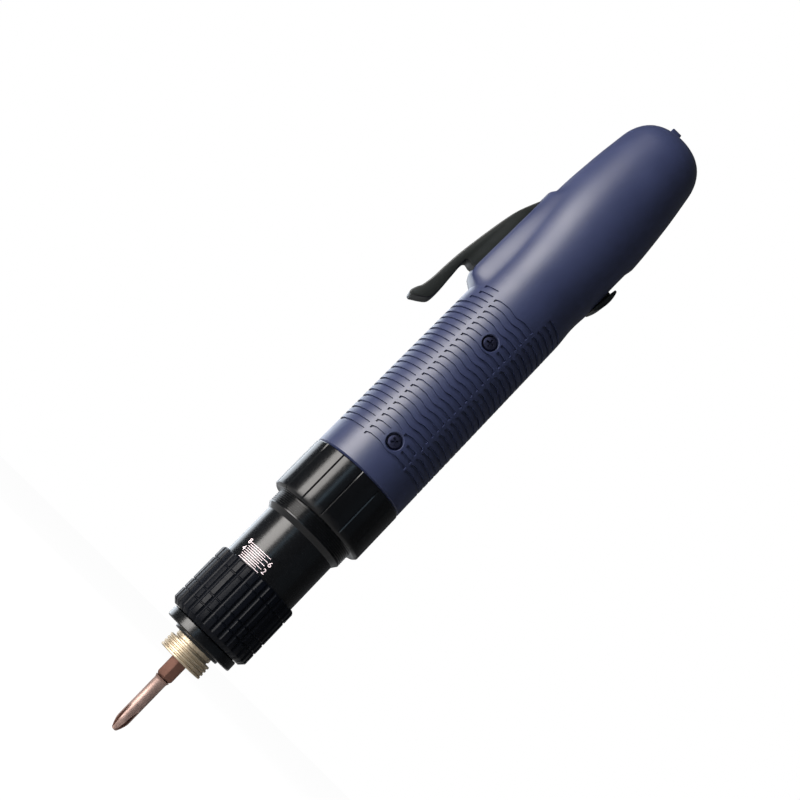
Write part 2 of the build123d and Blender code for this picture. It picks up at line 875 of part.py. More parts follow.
def motor_shaft():
    """The rotor's shaft."""
    return rod(motor_shaft_radius, first_gear_front, rear_bracket_rear - side_play)


def motor_pinion():
    """The first sun gear, on the motor shaft."""
    bore = motor_shaft_radius + seat_gap
    return outer_gear(sun_teeth, first_gear_front, first_gear_rear + gear_side_gap, bore)


def brush_holder():
    """The insulating ring that carries the brushes."""
    middle = (commutator_front + commutator_rear) / 2
    body = ring_solid(
        magnet_radius, commutator_radius + 1.5, middle - brush_width / 2 - 1, middle + brush_width / 2 + 1
    )
    slot = Pos(0, 0, middle) * Box(4 * can_radius, brush_width + seat_gap * 2, brush_width + seat_gap * 2)
    return body - slot


def brushes():
    """Two carbon brushes on the commutator."""
    middle = (commutator_front + commutator_rear) / 2
    low = commutator_radius + running_gap
    half = brush_width / 2
    brush = block((low, -half, middle - half), (low + brush_length, half, middle + half))
    return joined(around(brush, 2))


def rear_loft(inset, height):
    """The rear casing's form, drawn in by a wall and cut off at a height."""
    faces = [
        Plane(origin=(shift, 0, z)) * Ellipse(width - inset, depth - inset)
        for z, shift, width, depth in rear_sections
    ]
    body = loft(faces)
    return body & block((-cut_reach, -cut_reach, grip_rear - 1), (cut_reach, cut_reach, height))


def cowl():
    """The raised cowl on the lever's side: an oval back under a side profile."""
    outline = Polyline(
        (-cavity_radius, 0, cowl_front_z), (-grip_rear_radius, 0, cowl_front_z),
        (-cowl_lip_reach, 0, cowl_front_z + cowl_lip_length),
        (-cowl_reach, 0, cowl_front_z + cowl_ramp_length),
        (-cowl_step_reach, 0, cowl_rear_z - cowl_step_length), (-cowl_rear_reach, 0, cowl_rear_z),
        (-cavity_radius, 0, cowl_rear_z), close=True,
    )
    profile = extrude(make_face(outline), cowl_side_reach, both=True)
    oval = Ellipse(cowl_reach + cowl_crown + cowl_middle_x, cowl_side_reach)
    return extrude(Plane(origin=(cowl_middle_x, 0, cowl_front_z)) * oval, cowl_length) & profile


def paddle_recess():
    """The shallow recess around the reverse paddle, its rear end a slope."""
    floor_rear = recess_front_z + recess_length
    rise = cut_reach - recess_floor_x
    outline = Polyline(
        (recess_floor_x, 0, recess_front_z), (cut_reach, 0, recess_front_z),
        (cut_reach, 0, floor_rear + rise * recess_ramp_length / recess_ramp_height),
        (recess_floor_x, 0, floor_rear), close=True,
    )
    return extrude(make_face(outline), recess_half_width, both=True)


def casing_outside():
    """The outer form of both casing halves together."""
    grip = turned([
        (0, collar_rear), (casing_front_radius - casing_front_chamfer, collar_rear),
        (casing_front_radius, collar_rear + casing_front_chamfer), (grip_rear_radius, grip_rear),
        (0, grip_rear),
    ])
    neck = rod(casing_neck_radius, neck_front, collar_rear + 1)
    rear = rear_loft(0, casing_rear)
    rear = fillet(rear.edges().group_by(Axis.Z)[-1], dome_fillet)
    return grip + neck + rear + cowl() - paddle_recess()


def groove_run(start_angle, angle, count):
    """A run of grip grooves round part of the casing, its angles counted from the lever's side."""
    taper = (casing_front_radius - grip_rear_radius) / grip_length
    sections = []
    for index in range(count):
        setback = grip_groove_setback + grip_groove_pitch * index
        corners = notch_corners(
            casing_front_radius - taper * setback, collar_rear + setback, grip_groove_depth,
            grip_groove_width, grip_groove_floor_width,
        )
        corners = [(-radius, 0, height) for radius, height in corners]
        sections.append(make_face(Polyline(*corners, close=True)))
    return [Rot(0, 0, start_angle) * revolve(section, Axis.Z, angle) for section in sections]


def grip_grooves():
    """All the grip grooves, those beside the screws kept clear of the screw recesses."""
    screw_run_angle = screw_run_end_angle - screw_run_start_angle
    grooves = groove_run(-lever_run_half_angle, 2 * lever_run_half_angle, short_run_count)
    grooves += groove_run(180 - paddle_run_half_angle, 2 * paddle_run_half_angle, long_run_count)
    guard = Rot(90, 0, 0) * Cylinder(screw_recess_radius + screw_guard_margin, 4 * casing_front_radius)
    guards = [Pos(0, 0, z) * guard for z in (front_screw_z, rear_screw_z)]
    for start_angle in (screw_run_start_angle, -screw_run_end_angle):
        for groove in groove_run(start_angle, screw_run_angle, short_run_count):
            grooves.append(groove - guards)
    return grooves


def casing_inside():
    """The hollow of both casing halves together."""
    front_land = front_bracket_rear + land_margin
    rear_land = can_rear - land_margin
    rear_land_end = rear_bracket_rear + land_margin
    front = turned([
        (0, neck_front - 1), (thread_radius + seat_gap, neck_front - 1),
        (thread_radius + seat_gap, barrel_rear), (land_radius, barrel_rear),
        (land_radius, front_land), (cavity_radius, front_land + land_slope),
        (cavity_radius, rear_land - land_slope), (land_radius, rear_land),
        (land_radius, rear_land_end), (cavity_radius, rear_land_end + land_slope),
        (cavity_radius, grip_rear), (0, grip_rear),
    ])
    rear = rear_loft(casing_wall, cavity_rear)
    rear = fillet(rear.edges().group_by(Axis.Z)[-1], cavity_fillet)
    return front + rear


def paddle_ears():
    """Ears inside the casing that carry the reverse paddle's trunnions."""
    inner = paddle_neck_width / 2 + side_play
    ears = []
    for side in (-1, 1):
        low, high = sorted((side * inner, side * (inner + ear_thickness)))
        ears.append(block(
            (paddle_pivot_x - ear_half_height, low, paddle_z - ear_half_height),
            (recess_floor_x - 0.5, high, paddle_z + ear_half_height),
        ))
    return ears


def casing_cuts():
    """Openings of the casing: lever slot, paddle window, pins, eye and socket."""
    half_slot = lever_width / 2 + side_play
    window_half = paddle_neck_length / 2 + window_margin
    window_width = paddle_neck_width / 2 + side_play
    return [
        block((-cut_reach, -half_slot, slot_front_z), (slot_depth_x, half_slot, slot_rear_z)),
        cross_rod(lever_pin_radius + seat_gap, half_slot + lever_pin_seat, lever_pivot_x, lever_pivot_z),
        block(
            (paddle_pivot_x - window_depth, -window_width, paddle_z - window_half),
            (cut_reach, window_width, paddle_z + window_half),
        ),
        cross_rod(
            paddle_trunnion_radius + running_gap, window_width + paddle_trunnion_length + side_play,
            paddle_pivot_x, paddle_z,
        ),
        eye_body(seat_gap, cavity_rear - 1),
        block(
            (eye_trough_low_x, -eye_trough_half_width, casing_rear - eye_trough_depth),
            (eye_trough_high_x, eye_trough_half_width, casing_rear + cut_reach),
        ),
        rod(
            socket_radius + seat_gap, socket_floor_z - socket_floor - seat_gap,
            casing_rear + cut_reach, socket_x,
        ),
    ]


def casing_half(whole, side):
    """One half of the casing."""
    low = min(0, side * cut_reach)
    high = max(0, side * cut_reach)
    return whole & block(
        (-cut_reach, low, neck_front - cut_reach), (cut_reach, high, casing_rear + cut_reach)
    )


def eye_body(grow, low):
    """The hanger eye's tab, which passes through the casing's end wall."""
    hole_z = casing_rear + eye_hole_lift
    top = hole_z + eye_hole_radius + eye_rim
    tab = block(
        (eye_x - eye_thickness / 2 - grow, -eye_half_width - grow, low),
        (eye_x + eye_thickness / 2 + grow, eye_half_width + grow, top),
    )
    if grow == 0:
        tab = fillet(tab.edges().filter_by(Axis.X).group_by(Axis.Z)[-1], eye_half_width - 0.6)
    return tab


def hanger_eye():
    """The eye that the tool hangs by, with a foot inside the casing."""
    body = eye_body(0, cavity_rear - eye_foot_length)
    foot = block(
        (eye_x - eye_thickness / 2, -eye_foot_half_width, cavity_rear - eye_foot_length),
        (eye_x + eye_thickness / 2, eye_foot_half_width, cavity_rear - seat_gap),
    )
    hole = along_x(eye_hole_radius, eye_x - eye_thickness, eye_x + eye_thickness, casing_rear + eye_hole_lift)
    return body + foot - hole


def power_socket():
    """The round inlet for the power lead."""
    end = socket_floor_z - socket_floor
    return Pos(socket_x, 0, 0) * turned([
        (0, end), (socket_radius, end), (socket_radius, socket_rim_z - 0.4),
        (socket_radius - 0.4, socket_rim_z), (socket_bore_radius, socket_rim_z),
        (socket_bore_radius, socket_step_z), (socket_inner_radius, socket_step_z),
        (socket_inner_radius, socket_floor_z), (0, socket_floor_z),
    ])


def socket_pins():
    """Contact pins in the inlet."""
    pin = rod(socket_pin_radius, socket_floor_z, socket_step_z - side_play, socket_pin_circle)
    return joined([Pos(socket_x, 0, 0) * copy for copy in around(pin, socket_pin_count, 45)])


def lever_underside(z):
    """Where the lever's underside lies inside the slot."""
    share = (z - lever_web_rear_z) / (lever_root_rear_z - lever_web_rear_z)
    return lever_root_front_x + (lever_root_rear_x - lever_root_front_x) * share


def start_lever():
    """The start lever: an arm outside the casing and a root on the pin inside the cowl."""
    shoulder_x = lever_crest_rise - lever_reach
    underside_x = shoulder_x + lever_thickness
    nose = (lever_nose_drop - lever_reach, 0, lever_tip_z)
    crest = (-lever_reach, 0, lever_tip_z + lever_crest_setback)
    flare = (shoulder_x - lever_crest_rise / 3, 0, lever_tip_z + 0.6 * lever_shoulder_setback)
    shoulder = (shoulder_x, 0, lever_tip_z + lever_shoulder_setback)
    bend = (shoulder_x + lever_bend_drop, 0, lever_tip_z + lever_bend_setback)
    back = (shoulder_x + lever_back_drop, 0, lever_tip_z + lever_back_setback)
    top_end = (-cowl_step_reach, 0, lever_tip_z + lever_end_setback)
    hub_top = (lever_pivot_x, 0, lever_pivot_z + lever_hub_radius)
    diagonal = lever_hub_radius * math.sqrt(0.5)
    hub_middle = (lever_pivot_x + diagonal, 0, lever_pivot_z + diagonal)
    hub_side = (lever_pivot_x + lever_hub_radius, 0, lever_pivot_z)
    root_rear = (lever_root_rear_x, 0, lever_root_rear_z)
    root_front = (lever_root_front_x, 0, lever_web_rear_z)
    web_foot = (lever_root_front_x - 1.5, 0, lever_web_front_z + 0.6)
    web_top = (underside_x - lever_web_lean, 0, lever_web_front_z)
    chin_rear = (underside_x, 0, lever_tip_z + lever_chin_setback + 1.2)
    chin = (underside_x - 0.2, 0, lever_tip_z + lever_chin_setback)
    outline = [
        Spline(crest, flare, shoulder, bend, back, top_end),
        Polyline(top_end, hub_top),
        ThreePointArc(hub_top, hub_middle, hub_side),
        Polyline(hub_side, root_rear, root_front, web_foot, web_top, chin_rear, chin, nose, crest),
    ]
    edges = [edge for curve in outline for edge in curve.edges()]
    body = extrude(make_face(Wire(edges)), lever_width / 2, both=True)
    return body - cross_rod(lever_pin_radius + running_gap, lever_width, lever_pivot_x, lever_pivot_z)


def lever_pin():
    """The pin that the lever turns on, seated in the cowl's cheeks."""
    half_slot = lever_width / 2 + side_play
    return cross_rod(lever_pin_radius, half_slot + lever_pin_seat - face_gap, lever_pivot_x, lever_pivot_z)


def start_switch():
    """The switch that the lever works."""
    body = block(
        (switch_face_x, -switch_width / 2, switch_front_z),
        (0, switch_width / 2, switch_front_z + switch_length),
    )
    body = chamfer(body.edges().filter_by(Axis.Z).group_by(Axis.X)[0], 0.6)
    return body - along_x(plunger_radius + running_gap, switch_face_x - 1, switch_face_x + 6.0, plunger_z)


def start_switch_plunger():
    """The plunger between the lever and the switch."""
    tip = lever_underside(plunger_z) + face_gap
    shaft = along_x(plunger_radius, tip + plunger_radius, switch_face_x + 2.0, plunger_z)
    return shaft + Pos(tip + plunger_radius, 0, plunger_z) * Sphere(plunger_radius)


def lever_spring():
    """The spring that lifts the lever."""
    low = lever_underside(lever_spring_z) + face_gap
    spring = coil(lever_spring_radius, lever_spring_wire, 0, switch_face_x - low - face_gap, 4)
    return Pos(low, 0, lever_spring_z) * Rot(0, 90, 0) * spring


def control_board():
    """The board between the casing halves, with its larger components."""
    half = math.sqrt((cavity_radius - board_edge_gap) ** 2 - board_thickness ** 2)
    return block((0, -half, board_front_z), (board_thickness, half, board_rear_z))


def board_components():
    """Components on the board."""
    cell = along_x(capacitor_radius, -capacitor_length, 0, board_front_z + capacitor_setback)
    cells = [Pos(0, side * component_offset, 0) * cell for side in (-1, 1)]
    chip_front = board_front_z + chip_setback
    chip = block((-chip_height, -chip_width / 2, chip_front), (0, chip_width / 2, chip_front + chip_length))
    chips = [Pos(0, side * component_offset, 0) * chip for side in (-1, 1)]
    return joined(cells + chips)


def reverse_switch():
    """The changeover switch under the reverse paddle."""
    return block(
        (board_thickness, -reverse_switch_width / 2, paddle_z - reverse_switch_length / 2),
        (reverse_switch_top_x, reverse_switch_width / 2, paddle_z + reverse_switch_length / 2),
    )


def reverse_paddle():
    """The rocking paddle that sets the direction, at rest on its front end."""
    edge_x = paddle_top_x - paddle_crown
    underside_x = edge_x - paddle_edge
    front = paddle_z - paddle_length / 2
    rear = paddle_z + paddle_length / 2
    outline = [
        ThreePointArc((edge_x, 0, front), (paddle_top_x, 0, paddle_z), (edge_x, 0, rear)),
        Polyline((edge_x, 0, rear), (underside_x, 0, rear), (underside_x, 0, front), (edge_x, 0, front)),
    ]
    edges = [edge for curve in outline for edge in curve.edges()]
    plate = extrude(make_face(Wire(edges)), paddle_width / 2, both=True)
    plate = fillet(plate.edges().filter_by(Axis.X), 1.5)
    neck = block(
        (paddle_pivot_x + 1.0, -paddle_neck_width / 2, paddle_z - paddle_neck_length / 2),
        (edge_x, paddle_neck_width / 2, paddle_z + paddle_neck_length / 2),
    )
    hub = cross_rod(2.1, paddle_neck_width / 2, paddle_pivot_x, paddle_z)
    reach = paddle_neck_width / 2 + side_play + paddle_trunnion_length
    trunnions = cross_rod(paddle_trunnion_radius, reach, paddle_pivot_x, paddle_z)
    body = plate + neck + hub + trunnions
    centre = Pos(paddle_pivot_x, 0, paddle_z)
    return centre * Rot(0, paddle_swing / 2, 0) * centre.inverse() * body


def coupling_collar():
    """The polished collar that joins the barrel to the casing and takes a torque arm's clamp."""
    seat = neck_front - face_gap
    body = turned([
        (thread_radius + seat_gap, collar_front), (collar_radius - collar_chamfer, collar_front),
        (collar_radius, collar_front + collar_chamfer), (collar_radius, collar_rear),
        (casing_neck_radius + seat_gap, collar_rear), (casing_neck_radius + seat_gap, seat),
        (thread_radius + seat_gap, seat),
    ])
    notch = Pos(collar_radius, 0, 0) * Rot(0, 0, 45) * Box(
        collar_groove_depth * math.sqrt(2), collar_groove_depth * math.sqrt(2), collar_length + 2
    )
    return body - around(notch, collar_groove_count)


def save(name, shape):
    """One file for each node."""
    export_step(shape, "parts/" + name + ".step")


def main():
    os.makedirs("parts", exist_ok=True)
    casing = casing_outside() - casing_inside() - grip_grooves()
    for ear in paddle_ears():
        casing = casing + ear
    for cut in casing_cuts() + screw_holes() + screw_recesses():
        casing = casing - cut
    save("housing_shell_near", casing_half(casing, -1))
    save("housing_shell_far", casing_half(casing, 1))
    save("housing_screws", housing_screws())
    save("coupling_collar", coupling_collar())
    save("clutch_barrel", clutch_barrel())
    save("nose_cap", nose_cap())
    save("spindle_bearing", spindle_bearing())
    save("ring_gear", ring_gear())
    save("front_bracket", front_bracket())
    save("rear_bracket", rear_bracket())
    save("motor_can", motor_can())
    save("motor_magnets", motor_magnets())
    save("brush_holder", brush_holder())
    save("brushes", brushes())
    save("front_motor_bearing", motor_bearing(front_bracket_rear - motor_bearing_width))
    save("rear_motor_bearing", motor_bearing(can_rear))
    save("control_board", control_board())
    save("board_components", board_components())
    save("start_switch", start_switch())
    save("reverse_switch", reverse_switch())
    save("lever_pin", lever_pin())
    save("lever_spring", lever_spring())
    save("power_socket", power_socket())
    save("socket_pins", socket_pins())
    save("hanger_eye", hanger_eye())
    save("thrust_plate", thrust_plate())
    save("torque_spring", strip_coil(
        torque_spring_radius, torque_spring_strip, seat_rear + face_gap, thrust_front - face_gap,
        torque_spring_turns,
    ))
    save("spring_seat", spring_seat())
    save("torque_adjusting_ring", torque_adjusting_ring())
    save("bit", bit())
    save("spindle", spindle())
    save("detent_balls", detent_balls())
    save("stop_ring", stop_ring())
    save("clutch_jaw", clutch_jaw())
    save("clutch_balls", clutch_balls())
    save("output_carrier", output_carrier())
    save("bit_sleeve", bit_sleeve())
    save("sleeve_spring", coil(
        sleeve_spring_radius, sleeve_spring_wire, sleeve_rear + face_gap,
        spindle_shoulder_front - face_gap, 2.5
    ))
    save("first_carrier", first_carrier())
    for index, angle in enumerate(planet_angles):
        save("first_planet_%d" % (index + 1), planet(first_gear_front, first_gear_rear, angle))
        save("second_planet_%d" % (index + 1), planet(second_gear_front, second_gear_rear, angle))
    save("rotor_core", rotor_core())
    save("commutator", commutator())
    save("motor_shaft", motor_shaft())
    save("motor_pinion", motor_pinion())
    save("start_lever", start_lever())
    save("start_switch_plunger", start_switch_plunger())
    save("reverse_paddle", reverse_paddle())


main()
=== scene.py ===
import json
import math

import bmesh
import bpy
from mathutils import Matrix, Vector

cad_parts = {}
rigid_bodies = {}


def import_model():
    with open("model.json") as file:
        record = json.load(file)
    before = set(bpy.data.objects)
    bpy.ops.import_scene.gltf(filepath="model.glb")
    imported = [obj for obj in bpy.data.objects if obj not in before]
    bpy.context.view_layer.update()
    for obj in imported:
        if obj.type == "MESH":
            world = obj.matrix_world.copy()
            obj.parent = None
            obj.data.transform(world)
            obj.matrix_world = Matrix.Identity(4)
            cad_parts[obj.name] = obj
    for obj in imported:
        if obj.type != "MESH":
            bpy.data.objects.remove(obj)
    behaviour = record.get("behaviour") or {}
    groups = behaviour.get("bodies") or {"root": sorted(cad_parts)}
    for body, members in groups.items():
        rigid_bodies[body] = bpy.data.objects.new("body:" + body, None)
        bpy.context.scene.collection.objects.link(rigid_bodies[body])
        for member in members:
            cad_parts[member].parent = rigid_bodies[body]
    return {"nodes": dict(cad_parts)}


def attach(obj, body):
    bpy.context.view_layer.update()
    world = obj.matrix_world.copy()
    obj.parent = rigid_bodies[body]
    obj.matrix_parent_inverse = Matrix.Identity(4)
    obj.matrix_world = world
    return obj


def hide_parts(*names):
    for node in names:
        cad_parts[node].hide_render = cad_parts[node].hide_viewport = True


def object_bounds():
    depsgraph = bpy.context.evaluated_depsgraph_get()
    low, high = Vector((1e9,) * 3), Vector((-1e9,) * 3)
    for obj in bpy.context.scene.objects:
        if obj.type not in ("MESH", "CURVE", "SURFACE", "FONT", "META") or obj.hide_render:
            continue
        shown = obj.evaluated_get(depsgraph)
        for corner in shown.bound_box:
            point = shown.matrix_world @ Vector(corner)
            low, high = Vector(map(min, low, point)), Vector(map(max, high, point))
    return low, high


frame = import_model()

bl_info = {
    "name": "Electric torque screwdriver",
    "version": (1, 0, 0),
    "blender": (4, 5, 0),
    "location": "View3D > Sidebar > Screwdriver",
    "description": "Models and finishes a lever-start torque screwdriver on its packed frame",
    "category": "Object",
}

MM = 0.001
NODES = frame["nodes"]
CAD_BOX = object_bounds()


def linear(red, green, blue):
    """A screen colour, 0 to 255 each, as linear light."""
    values = []
    for part in (red, green, blue):
        share = part / 255
        values.append(share / 12.92 if share <= 0.04045 else ((share + 0.055) / 1.055) ** 2.4)
    return (*values, 1.0)


def length(name, description, millimetres):
    """A length property, given in millimetres."""
    return bpy.props.FloatProperty(
        name=name, description=description, default=millimetres * MM, min=0.0, unit="LENGTH", precision=5
    )


def amount(name, description, default, **more):
    """A plain amount of light."""
    return bpy.props.FloatProperty(name=name, description=description, default=default, min=0.0, **more)


def colour(name, description, red, green, blue):
    """A colour property, given as a screen colour."""
    return bpy.props.FloatVectorProperty(
        name=name, description=description, default=linear(red, green, blue), size=4, subtype="COLOR",
        min=0.0, max=1.0,
    )


class CasingSettings(bpy.types.PropertyGroup):
    """Sizes of the casing's grip and cowl."""

    wall: length("Wall", "Thickness of the moulded wall", 2.2)
    end_wall: length("End wall", "Extra thickness of the rear end", 3.3)
    groove_pitch: length("Groove pitch", "From one grip groove to the next", 3.0)
    groove_width: length("Groove width", "Width of a grip groove at the surface", 1.2)
    groove_depth: length("Groove depth", "Depth of a grip groove", 0.62)
    groove_wall: length("Groove wall", "How far a groove's wall leans in", 0.06)
    groove_wave: length("Groove wave", "How far the grooves bow towards the bit along the screw line", 0.85)
    groove_hook: length("Groove hook", "How far a groove's upper end bends towards the bit", 0.7)
    plastic: colour("Plastic", "Casing plastic", 37, 43, 70)


class NoseSettings(bpy.types.PropertyGroup):
    """Sizes and finishes of the barrel, its rings and the bit."""

    rib_depth: length("Flute depth", "Depth of the adjusting ring's flutes", 0.55)
    ring_groove: length("Ring groove", "Depth of the grooves around the adjusting ring", 0.36)
    thread_pitch: length("Thread pitch", "Pitch of the barrel's rear thread", 0.8)
    thread_depth: length("Thread depth", "Depth of the barrel's threads", 0.32)
    collar_groove: length("Collar groove", "Depth of the collar's lengthwise grooves", 0.3)
    black: colour("Black", "Anodised black of the barrel", 6, 7, 9)
    knurl: colour("Ring black", "Satin black of the adjusting ring", 5, 7, 13)
    nickel: colour("Nickel", "Plating of the bit sleeve", 182, 168, 146)
    bit: colour("Bit steel", "Tinted steel of the bit", 158, 134, 126)


class ControlSettings(bpy.types.PropertyGroup):
    """Sizes and finishes of the lever and the reverse paddle."""

    rounding: length("Rounding", "Rounding of the lever's edges", 0.9)
    nylon: colour("Nylon", "Plastic of the lever and the paddle", 15, 18, 17)


class StageSettings(bpy.types.PropertyGroup):
    """Floor, light and camera."""

    floor_drop: length("Floor drop", "Distance of the floor under the bit's point", 2.0)
    key_power: amount("Key light", "Power of the main soft light", 16.0, unit="POWER")
    fill_power: amount("Fill light", "Power of the weak light on the shaded side", 0.15, unit="POWER")
    sky: amount("Room light", "Strength of the even light of the room", 0.1)


# Sizes of the shapes, in millimetres and degrees, on the part's own axes

# Casing: height, shift in X, half width in X and half depth in Y of each station
CASING_STATIONS = (
    (11.05, 0.0, 19.15, 19.15), (11.75, 0.0, 19.85, 19.85), (100.05, 0.0, 19.7, 19.7),
    (111.0, -0.3, 19.4, 19.5), (122.0, -0.3, 20.1, 19.7), (146.0, -1.1, 21.4, 20.18),
    (168.0, -1.3, 20.1, 19.1), (184.0, -1.45, 18.3, 17.4), (198.5, -1.6, 16.4, 15.6),
)
COLUMNS = 180
PLAIN_ROWS = (11.05, 11.75, 14.5, 17.5, 20.0)
TAIL_GAP = 2.2
TAIL_STEP = 2.4
CASING_REAR = 196.7
DOME_LENGTH = 11.05
DOME_DROP = 6.2
DOME_STEPS = 10
CROWN = 0.25
CROWN_SHARES = (0.75, 0.5, 0.25, 0.1, 0.0)
# Points this far from a ring's height still count as its own, and moves smaller than this are left out
RING_REACH = 0.05
SMALLEST_MOVE = 0.01
END_WALL_FROM = 188.0
HALVES_GAP = 0.04

# Cowl: height and reach from the axis along the tool, then the shape across it
COWL_TOP = (
    (94.5, 19.5), (95.6, 21.4), (97.1, 23.4), (98.6, 24.2),
    (100.6, 24.6), (144.3, 24.2), (145.6, 23.5), (147.1, 22.3),
)
COWL_FLAT = 4.6
COWL_SLOPE = 7.4
COWL_HALF = 12.5

# Grip grooves: the fields between angles from the screws' side towards the lever
GROOVE_START = 22.6
GROOVE_COUNT = 27
BOW_BEFORE = 1.5
BOW_AFTER = 1.0
WAVE_ANGLE = 13
HOOK_ANGLES = ((25, 31), (-35, -29))
LEVER_FIELD = 34
LEVER_FIELD_COUNT = 25
MIDDLE_FIELD = (-27, 31)
MIDDLE_FIELD_COUNT = 24
PADDLE_FIELD = -30
# Number of a groove and the half width of the cowl that the grooves after it keep off
COWL_STOPS = ((22, 11.5), (21, 9))
GROOVE_RADIUS = 18.9
GROOVES_BELOW = 103
GROOVE_SHARE = 0.6
# Share of the depth and share of the wall's lean at each step inwards
GROOVE_STEPS = ((0.25, 0.5), (0.75, 0.5))

# Openings of the casing
LEVER_SLOT_HALF = 4.3
LEVER_SLOT = (98.85, 139.5)
RECESS_FLOOR = 19.1
RECESS = (119.2, 142.2)
RECESS_HALF = 6.5
RECESS_RISE = 12.0
RECESS_DRAFT = 2.0
RECESS_RUN_OUT = 3.5
WINDOW = (122.6, 133.0)
WINDOW_HALF = 3.3
SCREW_HEIGHTS = (26.5, 77.3)
SCREW_FLOOR = 17.85
SCREW_MARGIN = 4.3
SCREW_RECESS = (
    (0.02, SCREW_FLOOR), (3.15, SCREW_FLOOR), (3.15, 19.25), (3.75, 19.95), (4.3, 21.5), (0.02, 21.5),
)
TROUGH_FLOOR = 196.5
TROUGH_HALF = 3.2
SOCKET_X = 5.5
SOCKET_RADIUS = 6.52
SOCKET_HEIGHT = 196

# Outlines of the turned pieces from here to the bit, as corners of (radius, height)

# Casing screws
SCREW_HEAD = (
    (0.02, 0.9), (1.6, 0.9), (2.3, 0.75), (2.7, 0.3), (2.7, -0.7), (1.2, -0.7), (1.2, -5.5), (0.02, -5.5),
)
SCREW_SEAT = 0.7
SCREW_CROSS_HALF = 1.5
SCREW_CROSS_WIDTH = 0.35
SCREW_TURN = 20

# Coupling collar: chamfered front, polished face and the seat for the casing's front
COLLAR = (
    (16.92, -11.05), (17.5, -11.05), (17.75, -10.9), (18.95, -10.9), (19.15, -10.82), (19.95, -10.05),
    (20.05, -9.8), (20.05, -6.0), (20.05, 0.0), (20.05, 6.0), (20.05, 10.6), (19.85, 10.95),
    (18.12, 10.95), (18.12, 3.95), (16.92, 3.95),
)
COLLAR_GROOVED_FROM = 19.9
COLLAR_GROOVES = 14
COLLAR_GROOVE_COLUMNS = 24
COLLAR_FIRST_GROOVE = 10.3

# Clutch barrel: mouth, front thread for the ring, scale, rear thread, then back through the bores
BARREL_COLUMNS = 192
BARREL_MOUTH = ((9.52, -64.95), (12.9, -64.95), (13.3, -64.6))
FRONT_THREAD = (-64.1, -47.0)
FRONT_THREAD_PITCH = 1.0
FRONT_THREAD_CREST = ((13.5, 0.0), (13.5, 0.2), (13.15, 0.5), (13.5, 0.8))
BARREL_MIDDLE = (
    (13.5, -45.45), (15.2, -45.45), (15.45, -45.2), (15.45, -36.0), (15.45, -26.0), (15.45, -18.55),
    (16.75, -16.75), (16.9, -16.5),
)
REAR_THREAD = (-16.1, -11.4)
REAR_THREAD_RADIUS = 16.9
BARREL_BORES = (
    (16.9, 20.05), (14.52, 20.05), (14.52, -20.05), (11.52, -20.05), (11.52, -54.3), (8.2, -54.3),
    (8.2, -55.3), (9.52, -55.3),
)
LUG_SLOT = ((10.5, -2.36, -54.1), (16.5, 2.36, -43.5))
LUG_COUNT = 3

# Torque scale: its first line, the step between lines, and its figures with their line and angle
SCALE_FIRST_LINE = -38.55
SCALE_PITCH = 0.775
SCALE_LINES = 9
SCALE_LINE_WIDTH = 0.2
SCALE_LINE_COLUMNS = 720
SCALE_LONG_LINE = (8.0, 45.0)
SCALE_SHORT_LINE = (15.0, 43.5)
SCALE_RADIUS = 15.45
SCALE_FIGURES = (("2", 2, 4.0), ("4", 4, 48.5), ("6", 6, 4.0), ("8", 8, 48.5))
FIGURE_SIZE = 2.9
PRINT_HEIGHT = 0.03
PRINT_THICKNESS = 0.05

# Torque adjusting ring: front, grooves around it, then the rear edge and the bores
RING_RADIUS = 17.1
RING_FRONT = ((13.8, -64.85), (15.2, -64.85), (15.4, -64.75), (17.0, -63.15), (RING_RADIUS, -62.9))
RING_GROOVES = (-58.6, -54.35, -44.1)
RING_GROOVE_HALF = 0.4
RING_GROOVE_FLOOR_HALF = 0.1
RING_REAR = (
    (RING_RADIUS, -40.0), (16.9, -39.5), (16.4, -39.05), (15.63, -39.05), (15.63, -53.85), (13.56, -53.85),
    (13.56, -62.85), (13.8, -62.85),
)
RING_FLUTES = 30
RING_FLUTE_COLUMNS = 12
RING_FLUTE_SHARES = (1.0, 0.88, 0.55, 0.0)
RING_FLUTE_START = 6.0
RING_FLUTED_FROM = 16.3

# Nose cap
NOSE_CAP = (
    (7.71, -70.05), (9.3, -70.05), (9.55, -69.95), (9.65, -69.7), (9.65, -69.1), (9.8, -68.95),
    (13.8, -68.95), (14.2, -68.8), (14.4, -68.45), (14.4, -65.5), (14.25, -65.1), (13.9, -64.95),
    (9.48, -64.95), (9.48, -60.3), (7.71, -60.3),
)

# Bit sleeve: mouth, ribs around its head, then the neck and the bore with the spring's room
SLEEVE_FRONT = -77.6
SLEEVE_MOUTH = ((5.06, -76.0), (6.3, -76.0), (6.3, SLEEVE_FRONT), (8.3, SLEEVE_FRONT))
SLEEVE_RIBS = 4
SLEEVE_RIB_RADIUS = 9.0
SLEEVE_RIB_WIDTH = 0.95
SLEEVE_RIB_GAP = 0.5
SLEEVE_BORES = (
    (7.2, -72.35), (7.2, -71.75), (7.55, -71.6), (7.65, -71.4), (7.65, -66.0), (5.06, -66.0),
    (5.06, -69.2), (6.3, -69.2), (6.3, -74.0), (5.06, -74.0),
)

